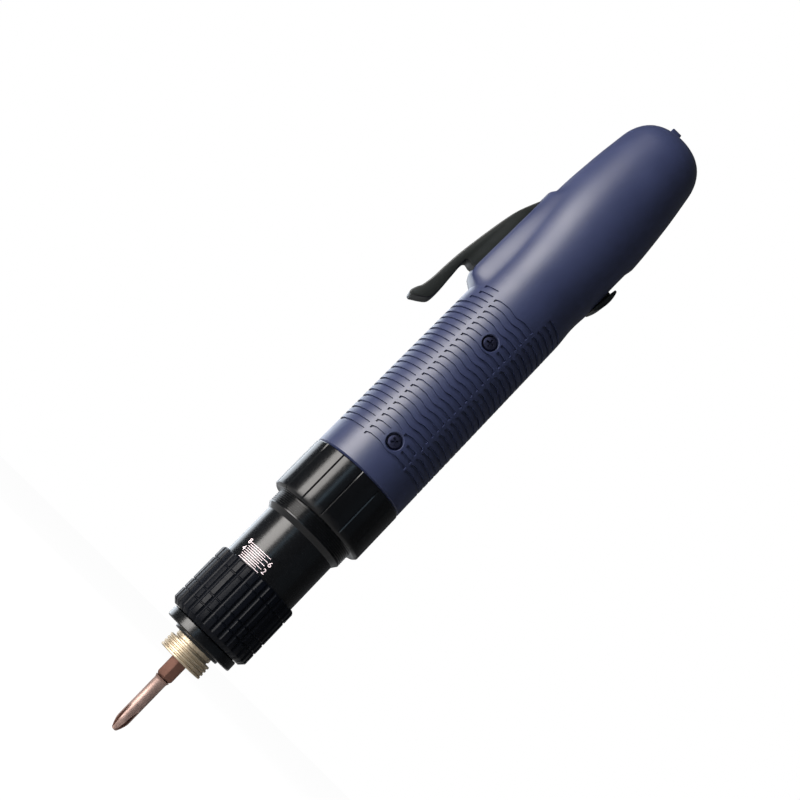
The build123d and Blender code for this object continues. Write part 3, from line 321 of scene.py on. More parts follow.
# Driver bit: round shaft with its cross point, the side view of a flute as (X, height), and the hexagon
BIT_SHAFT = (
    (0.02, -108.4), (0.75, -108.35), (1.15, -107.9), (1.75, -106.6), (2.25, -105.2), (2.46, -104.2),
    (2.5, -103.2), (2.5, -98.0), (2.5, -92.0), (2.5, -86.6), (2.6, -86.3), (2.95, -85.6), (0.02, -85.6),
)
BIT_FLUTE = (
    (0.5, -109.4), (0.55, -108.4), (1.05, -104.0), (2.0, -99.6), (3.2, -96.8), (6.0, -96.8), (6.0, -109.4),
)
BIT_FLUTE_HALF = 0.62
BIT_FLUTES = 4
HEXAGON_FLATS = 6.3
HEXAGON_FRONT = -85.5
HEXAGON_REAR = -58.4
HEXAGON_TINT_HEIGHT = -86.0
HEXAGON_TINT_BLEND = 0.8

# Start lever
LEVER_HALF = 4.0
LEVER_PIVOT = (-20, 136)
LEVER_HUB_RADIUS = 3.2
LEVER_HUB_ANGLES = (-20, 10, 40, 70, 90)
LEVER_BORE = 1.56
# Side view of the lever from its tip as (X, height): outer line, inner line behind the hub, finger side
LEVER_OUTSIDE = (
    (-33.6, 74.75), (-34.75, 75.2), (-34.96, 76.4), (-34.2, 78.7), (-33.25, 81.0), (-32.6, 86.0),
    (-32.45, 91.0), (-32.2, 96.1), (-31.8, 101.2), (-30.55, 111.4), (-29.05, 121.7), (-27.4, 129.6),
    (-24.2, 138.4),
)
LEVER_INSIDE = ((-18.2, 130.0), (-19.0, 102.6), (-20.5, 100.7))
LEVER_FINGER_SIDE = (
    (-25.5, 100.1), (-28.3, 100.05), (-28.05, 93.0), (-27.5, 86.0), (-27.55, 80.8), (-28.3, 78.6),
    (-30.6, 76.7),
)

# Reverse paddle
PADDLE_PIVOT = (15.9, 127.8)
PADDLE_TILT = 6
PADDLE_EDGE = 20.9
PADDLE_TOP = 22.2
PADDLE_UNDERSIDE = 19.9
PADDLE_HALF_LENGTH = 6.4
PADDLE_HALF_WIDTH = 4.8
PADDLE_STEPS = 6
PADDLE_NECK = (16.9, 20.9)
PADDLE_NECK_HALF = (3.0, 4.5)
PADDLE_HUB_RADIUS = 2.1
PADDLE_HUB_WIDTH = 6.0
PADDLE_PIN_RADIUS = 1.2
PADDLE_PIN_LENGTH = 10.6

# Hanger eye
EYE_X = (-7.0, -2.6)
EYE_HALF = 5.0
EYE_FOOT = 190.6
EYE_FOOT_HALF = 7.5
EYE_FOOT_TOP = 192.98
EYE_TOP = 203.3
EYE_BORE_RADIUS = 2.0
EYE_BORE_HEIGHT = 199.4
EYE_CORNER = 4.4
EYE_CLEARANCE = 0.02

# Stage: lights, floor and camera
LIGHT_AIM = (-0.003, 0, 0.045)
STRIP_FACTOR = 3
REAR_POWER = 4.0
FLOOR_SIZE = 6.0
FLOOR_GLOW = 1.1
FLOOR_GLOW_SHARE = 0.88
LENS = 53.1
CAMERA_TILT = 14.4
CAMERA_ROLL = 45.5
CAMERA_AIM = (-0.0089, 0, 0.0436)
CAMERA_DISTANCE = 0.4366


# Modelling helpers

# Distances in metres at which points are merged: in general, at a solid piece's axis, and in printed figures
SAME_POINT = 0.000002
SOLID_TIP = 0.00004
SAME_PRINT_POINT = 0.000001


def clear_selection():
    """Leaves edit mode and deselects everything."""
    if bpy.context.object and bpy.context.object.mode != "OBJECT":
        bpy.ops.object.mode_set(mode="OBJECT")
    for item in bpy.context.view_layer.objects:
        item.select_set(False)


def take(piece):
    """Makes a piece the only one selected."""
    clear_selection()
    piece.select_set(True)
    bpy.context.view_layer.objects.active = piece


def edit(piece, kind="VERT"):
    """Enters edit mode on a piece with nothing selected."""
    take(piece)
    bpy.ops.object.mode_set(mode="EDIT")
    bpy.ops.mesh.select_mode(type=kind)
    bpy.ops.mesh.select_all(action="DESELECT")


def select_all():
    """Selects all of the piece in edit mode."""
    bpy.ops.mesh.select_all(action="SELECT")


def done():
    """Leaves edit mode."""
    bpy.ops.object.mode_set(mode="OBJECT")


def named(name):
    """Names the active object and its mesh, and moves its place into its mesh."""
    piece = bpy.context.object
    piece.name = name
    piece.data.name = name
    bpy.ops.object.transform_apply(location=True, rotation=True, scale=True)
    return piece


def pick_faces(piece, test):
    """Selects the faces of a piece in edit mode whose middle and normal pass a test."""
    mesh = bmesh.from_edit_mesh(piece.data)
    for face in mesh.faces:
        face.select_set(test(face.calc_center_median(), face.normal))
    mesh.select_flush_mode()
    bmesh.update_edit_mesh(piece.data)


def pick_edges(piece, test):
    """Selects the edges of a piece in edit mode whose middle passes a test."""
    mesh = bmesh.from_edit_mesh(piece.data)
    for item in mesh.edges:
        item.select_set(test((item.verts[0].co + item.verts[1].co) / 2))
    bmesh.update_edit_mesh(piece.data)


def pick_indices(piece, indices):
    """Selects vertices of a piece in edit mode by their numbers."""
    mesh = bmesh.from_edit_mesh(piece.data)
    mesh.verts.ensure_lookup_table()
    for vertex in mesh.verts:
        if vertex.select:
            vertex.select_set(False)
    for index in indices:
        mesh.verts[index].select_set(True)
    bmesh.update_edit_mesh(piece.data)


def first_ring(name, count, radius, height):
    """A circle about the tool's axis, in edit mode with all of it selected."""
    clear_selection()
    bpy.ops.mesh.primitive_circle_add(
        vertices=count, radius=radius * MM, location=(0, 0, height * MM), fill_type="NOTHING"
    )
    piece = named(name)
    edit(piece)
    select_all()
    return piece


def next_ring(rise, width_factor, depth_factor, centre_x=0.0):
    """Draws the selected ring out along the axis and resizes it."""
    bpy.ops.mesh.extrude_region_move(TRANSFORM_OT_translate={"value": (0, 0, rise * MM)})
    bpy.ops.transform.resize(
        value=(width_factor, depth_factor, 1), center_override=(centre_x * MM, 0, 0)
    )


def close_up(threshold=SAME_POINT):
    """Merges doubled points and turns all faces outwards."""
    select_all()
    bpy.ops.mesh.remove_doubles(threshold=threshold)
    select_all()
    bpy.ops.mesh.normals_make_consistent(inside=False)
    done()


def turned(name, outline, count, solid=False):
    """A turned piece: one circle drawn out ring by ring along an outline of (radius, height) corners."""
    piece = first_ring(name, count, *outline[0])
    corners = list(outline[1:]) if solid else list(outline[1:]) + [outline[0]]
    radius, height = outline[0]
    for next_radius, next_height in corners:
        factor = next_radius / radius
        next_ring(next_height - height, factor, factor)
        radius, height = next_radius, next_height
    close_up(SOLID_TIP if solid else SAME_POINT)
    return piece


def slab(name, outline, half_width):
    """A flat profile in the XZ plane, drawn point by point, filled and extruded across the tool."""
    clear_selection()
    bpy.ops.mesh.primitive_plane_add(size=MM)
    piece = named(name)
    edit(piece)
    select_all()
    bpy.ops.mesh.merge(type="CENTER")
    select_all()
    x, z = outline[0]
    bpy.ops.transform.translate(value=(x * MM, -half_width * MM, z * MM))
    for next_x, next_z in list(outline[1:]) + [outline[0]]:
        bpy.ops.mesh.extrude_region_move(
            TRANSFORM_OT_translate={"value": ((next_x - x) * MM, 0, (next_z - z) * MM)}
        )
        x, z = next_x, next_z
    select_all()
    bpy.ops.mesh.remove_doubles(threshold=SAME_POINT)
    select_all()
    bpy.ops.mesh.edge_face_add()
    select_all()
    bpy.ops.mesh.extrude_region_move(TRANSFORM_OT_translate={"value": (0, 2 * half_width * MM, 0)})
    close_up()
    return piece


def block(name, low, high):
    """A block between two corners, in millimetres."""
    clear_selection()
    centre = [(a + b) / 2 * MM for a, b in zip(low, high)]
    size = [(b - a) * MM for a, b in zip(low, high)]
    bpy.ops.mesh.primitive_cube_add(size=1, location=centre, scale=size)
    return named(name)


def bar(name, radius, depth, place, direction, count=48):
    """A round bar, its middle at a place and its axis along a direction."""
    clear_selection()
    turn = Vector(direction).to_track_quat("Z", "Y").to_euler()
    bpy.ops.mesh.primitive_cylinder_add(
        vertices=count, radius=radius * MM, depth=depth * MM, location=[p * MM for p in place], rotation=turn
    )
    return named(name)


def apply_modifier(piece, kind, **settings):
    """Adds a modifier, sets it and applies it."""
    take(piece)
    modifier = piece.modifiers.new(kind.title(), kind)
    for key, value in settings.items():
        setattr(modifier, key, value)
    bpy.ops.object.modifier_apply(modifier=modifier.name)
    return piece


def cut(piece, cutters):
    """Cuts the cutters out of a piece, one by one."""
    for cutter in cutters:
        apply_modifier(piece, "BOOLEAN", operation="DIFFERENCE", solver="EXACT", object=cutter)
        bpy.data.objects.remove(cutter)


def round_edges(piece, width, segments=2, angle=35):
    """Rounds a piece's sharp edges."""
    apply_modifier(
        piece, "BEVEL", width=width, segments=segments, limit_method="ANGLE",
        angle_limit=math.radians(angle), harden_normals=False,
    )


def put(piece, matrix):
    """Sets a piece at a place and moves that place into its mesh."""
    take(piece)
    piece.matrix_world = matrix
    bpy.ops.object.transform_apply(location=True, rotation=True, scale=True)
    return piece


def about_axis(degrees):
    """A turn about the tool's axis."""
    return Matrix.Rotation(math.radians(degrees), 4, "Z")


def from_side(side, height, depth=0.0, turn=0.0):
    """A place on the screws' line at one side, with its own axis pointing outwards."""
    matrix = Matrix.Rotation(math.radians(-90 * side), 4, "X") @ about_axis(turn)
    matrix.translation = (0, side * depth * MM, height * MM)
    return matrix


def joined(pieces, name):
    """Joins pieces into the first one and names it."""
    clear_selection()
    for piece in pieces:
        piece.select_set(True)
    bpy.context.view_layer.objects.active = pieces[0]
    bpy.ops.object.join()
    return named(name)


def seat(piece, body, slot, maker, *nodes, angle=32):
    """Shades, finishes and seats a piece on the body it moves with."""
    take(piece)
    bpy.ops.object.shade_smooth_by_angle(angle=math.radians(angle))
    piece.data.materials.clear()
    piece.data.materials.append(finish(maker))
    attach(piece, body)
    if nodes:
        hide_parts(*nodes)


# Finishes

# Part of a noise pattern's values that the tones are spread over
PATTERN_RANGE = (0.3, 0.7)


def material_with(name, colour_value, roughness, **sockets):
    """A material with one principled shader."""
    material = bpy.data.materials.new(name)
    material.use_nodes = True
    sockets.update(Base_Color=colour_value, Roughness=roughness)
    for socket, value in sockets.items():
        material.node_tree.nodes["Principled BSDF"].inputs[socket.replace("_", " ")].default_value = value
    return material


def add_node(owner, kind, links=(), **settings):
    """A node in a material or a world, with its settings and its incoming links, each (input, node, output)."""
    tree = owner.node_tree
    node = tree.nodes.new(kind)
    for key, value in settings.items():
        if key in node.bl_rna.properties:
            setattr(node, key, value)
        else:
            node.inputs[key.replace("_", " ")].default_value = value
    for socket, source, output in links:
        tree.links.new(source.outputs[output], node.inputs[socket])
    return node


def lead(owner, source, output, target, socket):
    """Leads a node's output into a socket of a node that's already there."""
    tree = owner.node_tree
    tree.links.new(source.outputs[output], tree.nodes[target].inputs[socket])


def grain(material, scale, stretch=(1, 1, 1), detail=3.0):
    """A noise pattern in the object's own space."""
    place = add_node(material, "ShaderNodeTexCoord")
    mapping = add_node(material, "ShaderNodeMapping", [("Vector", place, "Object")], Scale=stretch)
    return add_node(
        material, "ShaderNodeTexNoise", [("Vector", mapping, "Vector")], Scale=scale, Detail=detail, Roughness=0.6
    )


def vary_colour(material, noise, dark, light):
    """Lets the colour drift between two tones with a pattern."""
    ramp = add_node(material, "ShaderNodeValToRGB", [("Fac", noise, "Fac")])
    for element, position, value in zip(ramp.color_ramp.elements, PATTERN_RANGE, (dark, light)):
        element.position = position
        element.color = value
    lead(material, ramp, "Color", "Principled BSDF", "Base Color")


def vary_roughness(material, noise, low, high):
    """Lets the roughness drift with a pattern."""
    spread = add_node(
        material, "ShaderNodeMapRange", [("Value", noise, "Fac")], From_Min=PATTERN_RANGE[0],
        From_Max=PATTERN_RANGE[1], To_Min=low, To_Max=high,
    )
    lead(material, spread, "Result", "Principled BSDF", "Roughness")


def emboss(material, noise, strength, distance):
    """Raises a pattern on the surface."""
    bump = add_node(
        material, "ShaderNodeBump", [("Height", noise, "Fac")], Strength=strength, Distance=distance * MM
    )
    lead(material, bump, "Normal", "Principled BSDF", "Normal")


def tone(value, factor):
    """A colour made lighter or darker."""
    return (*(min(1.0, part * factor) for part in value[:3]), 1.0)


def moulded_plastic(name, colour_value, roughness=0.42, texture=0.12, scale=2600.0):
    """Satin moulded plastic with a fine spark-eroded texture."""
    material = material_with(name, colour_value, roughness, Specular_IOR_Level=0.42)
    drift = grain(material, 38.0, detail=4.0)
    vary_colour(material, drift, tone(colour_value, 0.93), tone(colour_value, 1.07))
    vary_roughness(material, drift, roughness - 0.04, roughness + 0.05)
    emboss(material, grain(material, scale, detail=2.0), texture, 0.05)
    return material


def anodised_metal(name, colour_value, roughness, gloss=0.42, texture=0.05, scale=900.0, stretch=(1, 1, 6)):
    """Black anodised metal with faint turning marks."""
    material = material_with(name, colour_value, roughness, Specular_IOR_Level=gloss)
    marks = grain(material, scale, stretch=stretch, detail=3.0)
    vary_colour(material, grain(material, 60.0), tone(colour_value, 0.85), tone(colour_value, 1.2))
    vary_roughness(material, marks, roughness - 0.04, roughness + 0.05)
    emboss(material, marks, texture, 0.02)
    return material


def plated_metal(name, colour_value, roughness, stretch=(1, 1, 8), scale=700.0, texture=0.12):
    """Bare or plated metal with turning marks and slight tarnish."""
    material = material_with(name, colour_value, roughness, Metallic=1.0)
    marks = grain(material, scale, stretch=stretch, detail=4.0)
    vary_colour(material, grain(material, 150.0, detail=5.0), tone(colour_value, 0.82), tone(colour_value, 1.12))
    vary_roughness(material, marks, roughness - 0.07, roughness + 0.1)
    emboss(material, marks, texture, 0.02)
    return material


FINISHES = {}


def finish(maker):
    """One shared material for each finish, made when it's first asked for."""
    if maker not in FINISHES:
        FINISHES[maker] = maker()
    return FINISHES[maker]


def casing_plastic():
    return moulded_plastic(
        "casing_plastic", bpy.context.scene.driver_casing.plastic, roughness=0.41, texture=0.1
    )


def black_nylon():
    return moulded_plastic(
        "black_nylon", bpy.context.scene.driver_controls.nylon, roughness=0.38, texture=0.16, scale=1900.0
    )


def barrel_black():
    return anodised_metal("barrel_black", bpy.context.scene.driver_nose.black, roughness=0.23, gloss=0.28)


def collar_black():
    return anodised_metal("collar_black", bpy.context.scene.driver_nose.black, roughness=0.19, gloss=0.24)


def ring_black():
    return anodised_metal(
        "ring_black", bpy.context.scene.driver_nose.knurl, roughness=0.36, gloss=0.08, texture=0.12,
        scale=1500.0, stretch=(1, 1, 1),
    )


def sleeve_nickel():
    return plated_metal(
        "sleeve_nickel", bpy.context.scene.driver_nose.nickel, roughness=0.5, stretch=(1, 1, 0.15),
        scale=1400.0, texture=0.2,
    )


def bit_steel():
    """Tinted steel, redder and darker along the hexagon than along the round shaft."""
    base = bpy.context.scene.driver_nose.bit
    material = plated_metal("bit_steel", base, roughness=0.45, stretch=(1, 1, 0.2), scale=1200.0, texture=0.1)
    ramp = next(node for node in material.node_tree.nodes if node.bl_idname == "ShaderNodeValToRGB")
    place = add_node(material, "ShaderNodeTexCoord")
    split = add_node(material, "ShaderNodeSeparateXYZ", [("Vector", place, "Object")])
    band = add_node(
        material, "ShaderNodeMapRange", [("Value", split, "Z")],
        From_Min=(HEXAGON_TINT_HEIGHT - HEXAGON_TINT_BLEND) * MM,
        From_Max=(HEXAGON_TINT_HEIGHT + HEXAGON_TINT_BLEND) * MM, To_Min=0.0, To_Max=1.0,
    )
    mix = add_node(material, "ShaderNodeMix", [(0, band, "Result"), (6, ramp, "Color")], data_type="RGBA")
    mix.inputs[7].default_value = linear(112, 82, 72)
    lead(material, mix, 2, "Principled BSDF", "Base Color")
    return material


def screw_black():
    return plated_metal("screw_black", linear(58, 60, 82), roughness=0.38, stretch=(1, 1, 1), scale=900.0)


def machined_steel():
    return plated_metal("machined_steel", linear(176, 178, 182), roughness=0.32)


def spring_wire():
    return plated_metal("spring_wire", linear(150, 152, 158), roughness=0.28, stretch=(1, 1, 1), scale=900.0)


def cast_aluminium():
    return plated_metal(
        "cast_aluminium", linear(196, 198, 202), roughness=0.5, stretch=(1, 1, 1), scale=400.0, texture=0.3
    )


def yellow_brass():
    return plated_metal("yellow_brass", linear(206, 168, 96), roughness=0.3)


def magnet_ferrite():
    return moulded_plastic("magnet_ferrite", linear(52, 52, 56), roughness=0.6, texture=0.3, scale=900.0)


def circuit_board():
    return moulded_plastic("circuit_board", linear(18, 84, 44), roughness=0.35, texture=0.1, scale=700.0)


def white_marking():
    return moulded_plastic("white_marking", linear(228, 212, 216), roughness=0.5, texture=0.05, scale=3000.0)


NODE_FINISHES = {
    casing_plastic: ("housing_shell_near", "housing_shell_far", "hanger_eye"),
    black_nylon: (
        "start_lever", "reverse_paddle", "start_switch", "start_switch_plunger", "reverse_switch",
        "power_socket", "brush_holder",
    ),
    barrel_black: ("clutch_barrel", "nose_cap"),
    collar_black: ("coupling_collar",),
    ring_black: ("torque_adjusting_ring",),
    sleeve_nickel: ("bit_sleeve",),
    bit_steel: ("bit",),
    screw_black: ("housing_screws", "lever_pin", "stop_ring"),
    spring_wire: ("torque_spring", "sleeve_spring", "lever_spring"),
    cast_aluminium: ("front_bracket", "rear_bracket"),
    yellow_brass: ("commutator", "brushes", "socket_pins"),
    magnet_ferrite: ("motor_magnets",),
    circuit_board: ("control_board", "board_components"),
}


# Casing

def station(height):
    """Shift, half width and half depth of the casing at a height, on a smooth line through the stations."""
    rows = CASING_STATIONS
    if height <= rows[2][0]:
        low, high = rows[:2] if height <= rows[1][0] else rows[1:3]
        share = (height - low[0]) / (high[0] - low[0])
        return [a + (b - a) * share for a, b in zip(low[1:], high[1:])]
    rows = rows[2:]
    last = len(rows) - 1
    index = next((index for index in range(last) if height <= rows[index + 1][0]), last - 1)
    low, high = rows[index], rows[index + 1]
    before, after = rows[max(index - 1, 0)], rows[min(index + 2, last)]
    span = high[0] - low[0]
    t = (height - low[0]) / span
    values = []
    for k in (1, 2, 3):
        slope_low = (high[k] - before[k]) / (high[0] - before[0]) * span if index else 0.0
        slope_high = (after[k] - low[k]) / (after[0] - low[0]) * span
        values.append(
            (2 * t ** 3 - 3 * t ** 2 + 1) * low[k] + (t ** 3 - 2 * t ** 2 + t) * slope_low
            + (-2 * t ** 3 + 3 * t ** 2) * high[k] + (t ** 3 - t ** 2) * slope_high
        )
    return values


def casing_rows(settings):
    """Heights of the casing's rings up to the dome."""
    half = settings.groove_width / MM / 2
    rows = list(PLAIN_ROWS)
    for index in range(GROOVE_COUNT):
        middle = GROOVE_START + settings.groove_pitch / MM * index
        rows += [middle - half, middle + half]
    dome_start = CASING_REAR - CROWN - DOME_LENGTH
    height = rows[-1] + TAIL_GAP
    while height < dome_start - 1.0:
        rows.append(height)
        height += TAIL_STEP
    rows.append(dome_start)
    return rows


def between(points, position):
    """The value at a position on a line of (position, value) points, and nothing outside them."""
    if position <= points[0][0] or position >= points[-1][0]:
        return 0.0
    for low, high in zip(points, points[1:]):
        if position <= high[0]:
            share = (position - low[0]) / (high[0] - low[0])
            return low[1] + (high[1] - low[1]) * share
    return 0.0


def ease(share):
    """A smooth step from 0 to 1."""
    share = max(0.0, min(1.0, share))
    return share * share * (3 - 2 * share)


def side_angle(x, y):
    """The angle from the side of the screws (-Y or +Y) towards the lever, in degrees."""
    return math.degrees(math.atan2(-x, abs(y)))


def groove_bow(angle, settings):
    """How far a groove bends towards the bit at an angle: a wave at the screws and a hook at two ends."""
    if abs(angle) < WAVE_ANGLE:
        return settings.groove_wave / MM * (1 + math.cos(math.pi * angle / WAVE_ANGLE)) / 2
    for low, high in HOOK_ANGLES:
        if low < angle < high:
            return settings.groove_hook / MM * (angle - low) / (high - low)
    return 0.0


def groove_is_cut(index, angle, y):
    """Whether a groove is cut at an angle: the lever's field, the middle field or the paddle's field."""
    if angle > LEVER_FIELD:
        at_cowl = any(index > last and abs(y) < half for last, half in COWL_STOPS)
        return index < LEVER_FIELD_COUNT and not at_cowl
    if MIDDLE_FIELD[0] < angle < MIDDLE_FIELD[1]:
        return index < MIDDLE_FIELD_COUNT
    return angle < PADDLE_FIELD


def casing_rings(settings):
    """Height, shift, half width and half depth of every ring, along the grip and over the dome."""
    rings = [(height, *station(height)) for height in casing_rows(settings)]
    dome_start = rings[-1][0]
    for step in range(1, DOME_STEPS + 1):
        angle = math.pi / 2 * step / DOME_STEPS
        height = dome_start + DOME_LENGTH * math.sin(angle)
        drop = DOME_DROP * (1 - math.cos(angle))
        shift, width, depth = station(height)
        rings.append((height, shift, width - drop, depth - drop))
    return rings


def wrap_casing(rings):
    """The casing's outer skin, drawn out ring by ring and closed by a slightly crowned end."""
    height, shift, width, depth = rings[0]
    piece = first_ring("casing", COLUMNS, width, height)
    for new_height, new_shift, new_width, new_depth in rings[1:]:
        next_ring(new_height - height, new_width / width, new_depth / depth, shift)
        if new_shift != shift:
            bpy.ops.transform.translate(value=((new_shift - shift) * MM, 0, 0))
        height, shift, width, depth = new_height, new_shift, new_width, new_depth
    share = 1.0
    for new_share in CROWN_SHARES:
        rise = CROWN * (share ** 2 - new_share ** 2)
        next_ring(rise, new_share / share, new_share / share, shift)
        share = new_share
    select_all()
    bpy.ops.mesh.remove_doubles(threshold=SAME_POINT)
    return piece


def shape_skin(piece, rings, settings):
    """Raises the cowl and bends the grooves, by moving single columns of points."""
    mesh = bmesh.from_edit_mesh(piece.data)
    heights = [ring[0] for ring in rings]
    groups = {}
    first_groove = GROOVE_START - BOW_BEFORE
    last_groove = GROOVE_START + settings.groove_pitch / MM * GROOVE_COUNT - BOW_AFTER
    for vertex in mesh.verts:
        x, y, z = (part / MM for part in vertex.co)
        row = min(range(len(heights)), key=lambda index: abs(heights[index] - z))
        if abs(heights[row] - z) > RING_REACH:
            continue
        height, shift, width = rings[row][:3]
        top = between(COWL_TOP, height)
        reach = width - shift
        if x < 0 and top > reach and abs(y) < COWL_HALF:
            share = 1 - ease((abs(y) - COWL_FLAT) / COWL_SLOPE)
            lift = round((top - reach) * share, 3)
            if lift > SMALLEST_MOVE:
                groups.setdefault((-lift, 0.0), []).append(vertex.index)
        if first_groove < height < last_groove:
            bow = round(groove_bow(side_angle(x, y), settings), 3)
            if bow > SMALLEST_MOVE:
                groups.setdefault((0.0, -bow), []).append(vertex.index)
    for (dx, dz), indices in groups.items():
        pick_indices(piece, indices)
        bpy.ops.transform.translate(value=(dx * MM, 0, dz * MM))


def press_grooves(piece, settings):
    """Presses the grip grooves into the skin, in three fields on each side."""
    pitch = settings.groove_pitch / MM
    half = settings.groove_width / MM / 2

    def in_groove(centre, normal):
        x, y, z = (part / MM for part in centre)
        if normal.x * x + normal.y * y <= 0 or math.hypot(x, y) < GROOVE_RADIUS or z > GROOVES_BELOW:
            return False
        angle = side_angle(x, y)
        along = z + groove_bow(angle, settings) - GROOVE_START
        index = round(along / pitch)
        if not 0 <= index < GROOVE_COUNT or abs(along - index * pitch) > half * GROOVE_SHARE:
            return False
        if any(math.hypot(x, z - screw) < SCREW_MARGIN for screw in SCREW_HEIGHTS):
            return False
        return groove_is_cut(index, angle, y)

    bpy.ops.mesh.select_mode(type="FACE")
    bpy.ops.mesh.select_all(action="DESELECT")
    pick_faces(piece, in_groove)
    for deep, lean in GROOVE_STEPS:
        bpy.ops.mesh.inset(
            thickness=settings.groove_wall * lean, depth=-settings.groove_depth * deep,
            use_even_offset=True, use_boundary=True,
        )


def lever_slot():
    """The slot in the cowl that the lever works in."""
    return block("lever_slot", (-40, -LEVER_SLOT_HALF, LEVER_SLOT[0]), (-10, LEVER_SLOT_HALF, LEVER_SLOT[1]))


def paddle_recess():
    """The recess around the reverse paddle, which runs out towards the rear."""
    front, rear = RECESS
    top = RECESS_FLOOR + RECESS_RISE
    return slab("recess", (
        (RECESS_FLOOR, front), (top, front - RECESS_DRAFT), (top, rear + RECESS_RISE * RECESS_RUN_OUT),
        (RECESS_FLOOR, rear),
    ), RECESS_HALF)


def paddle_window():
    """The window that the paddle's neck passes through."""
    return block("window", (10, -WINDOW_HALF, WINDOW[0]), (24, WINDOW_HALF, WINDOW[1]))


def screw_recess(side, height):
    """A screw's round recess with its chamfered mouth."""
    return put(turned("screw_recess", SCREW_RECESS, 48, solid=True), from_side(side, height))


def casing_cutters():
    """Openings of the grip and the cowl, and those in the rear end for the cable inlet and the hanger eye."""
    cutters = [lever_slot(), paddle_recess(), paddle_window()]
    cutters += [screw_recess(side, height) for height in SCREW_HEIGHTS for side in (-1, 1)]
    low, high = EYE_X
    return cutters + [
        block("eye_trough", (-15, -TROUGH_HALF, TROUGH_FLOOR), (0.5, TROUGH_HALF, 210)),
        bar("socket_hole", SOCKET_RADIUS, 30, (SOCKET_X, 0, SOCKET_HEIGHT), (0, 0, 1), 64),
        block("eye_hole", (low - EYE_CLEARANCE, -EYE_HALF - EYE_CLEARANCE, 180),
              (high + EYE_CLEARANCE, EYE_HALF + EYE_CLEARANCE, 205)),
    ]


class DRIVER_OT_casing(bpy.types.Operator):
    """Model both moulded casing halves with their grip grooves, cowl and openings."""

    bl_idname = "driver.casing"
    bl_label = "Casing"

    def execute(self, context):
        settings = context.scene.driver_casing
        rings = casing_rings(settings)
        piece = wrap_casing(rings)
        shape_skin(piece, rings, settings)
        select_all()
        bpy.ops.mesh.normals_make_consistent(inside=False)
        done()
        apply_modifier(piece, "SOLIDIFY", thickness=settings.wall, offset=-1.0, use_even_offset=True)
        edit(piece, "FACE")
        pick_faces(piece, lambda centre, normal: centre.z > END_WALL_FROM * MM and (
            normal.z < -0.2 or normal.x * centre.x + normal.y * centre.y < 0))
        bpy.ops.transform.translate(value=(0, 0, -settings.end_wall))
        done()
        cut(piece, casing_cutters())
        edit(piece, "FACE")
        press_grooves(piece, settings)
        done()
        take(piece)
        bpy.ops.object.duplicate()
        other = bpy.context.object
        for half, name, side, node in (
            (piece, "casing_near", -1, "housing_shell_near"), (other, "casing_far", 1, "housing_shell_far")
        ):
            take(half)
            edit(named(name))
            select_all()
            bpy.ops.mesh.bisect(
                plane_co=(0, side * HALVES_GAP / 2 * MM, 0), plane_no=(0, side, 0), use_fill=True, clear_inner=True
            )
            done()
            seat(half, "driver", "casing_plastic", casing_plastic, node, angle=36)
        return {"FINISHED"}


class DRIVER_OT_screws(bpy.types.Operator):
    """Model one casing screw and set its four copies."""

    bl_idname = "driver.screws"
    bl_label = "Casing screws"

    def execute(self, context):
        head = turned("screw", SCREW_HEAD, 48, solid=True)
        reach, half = SCREW_CROSS_HALF, SCREW_CROSS_WIDTH
        cut(head, [
            block("cross", (-reach, -half, 0.0), (reach, half, 2)),
            block("cross", (-half, -reach, 0.0), (half, reach, 2)),
        ])
        round_edges(head, 0.06 * MM, 1, 40)
        copies = []
        for height in SCREW_HEIGHTS:
            for side in (-1, 1):
                take(head)
                bpy.ops.object.duplicate()
                copies.append(put(bpy.context.object, from_side(
                    side, height, SCREW_FLOOR + SCREW_SEAT, SCREW_TURN + height)))
        bpy.data.objects.remove(head)
        screws = joined(copies, "casing_screws")
        seat(screws, "driver", "screw_steel", screw_black, "housing_screws")
        return {"FINISHED"}


# Barrel and rings

def phase_scale(piece, phases, columns_per_rib, start, rule):
    """Draws lengthwise flutes into a turned piece by scaling one phase of every rib at once."""
    mesh = bmesh.from_edit_mesh(piece.data)
    groups = {}
    step = 360 / (phases * columns_per_rib)
    for vertex in mesh.verts:
        x, y = vertex.co.x / MM, vertex.co.y / MM
        radius = math.hypot(x, y)
        column = round((math.degrees(math.atan2(y, x)) - start) / step) % columns_per_rib
        phase = min(column, columns_per_rib - column)
        new_radius = rule(radius, phase)
        if abs(new_radius - radius) > 0.001:
            groups.setdefault(round(new_radius / radius, 5), []).append(vertex.index)
    for factor, indices in groups.items():
        pick_indices(piece, indices)
        bpy.ops.transform.resize(value=(factor, factor, 1), center_override=(0, 0, 0))


class DRIVER_OT_collar(bpy.types.Operator):
    """Model the polished coupling collar with its lengthwise grooves."""

    bl_idname = "driver.collar"
    bl_label = "Coupling collar"

    def execute(self, context):
        depth = context.scene.driver_nose.collar_groove / MM
        columns = COLLAR_GROOVES * COLLAR_GROOVE_COLUMNS
        piece = turned("collar", COLLAR, columns)
        edit(piece)
        turn_step = 360 / columns
        start = round(COLLAR_FIRST_GROOVE / turn_step) * turn_step
        phase_scale(piece, COLLAR_GROOVES, COLLAR_GROOVE_COLUMNS, start, lambda radius, phase: (
            radius - depth if radius > COLLAR_GROOVED_FROM and phase == 0 else radius))
        done()
        seat(piece, "driver", "polished_collar", collar_black, "coupling_collar", angle=28)
        return {"FINISHED"}


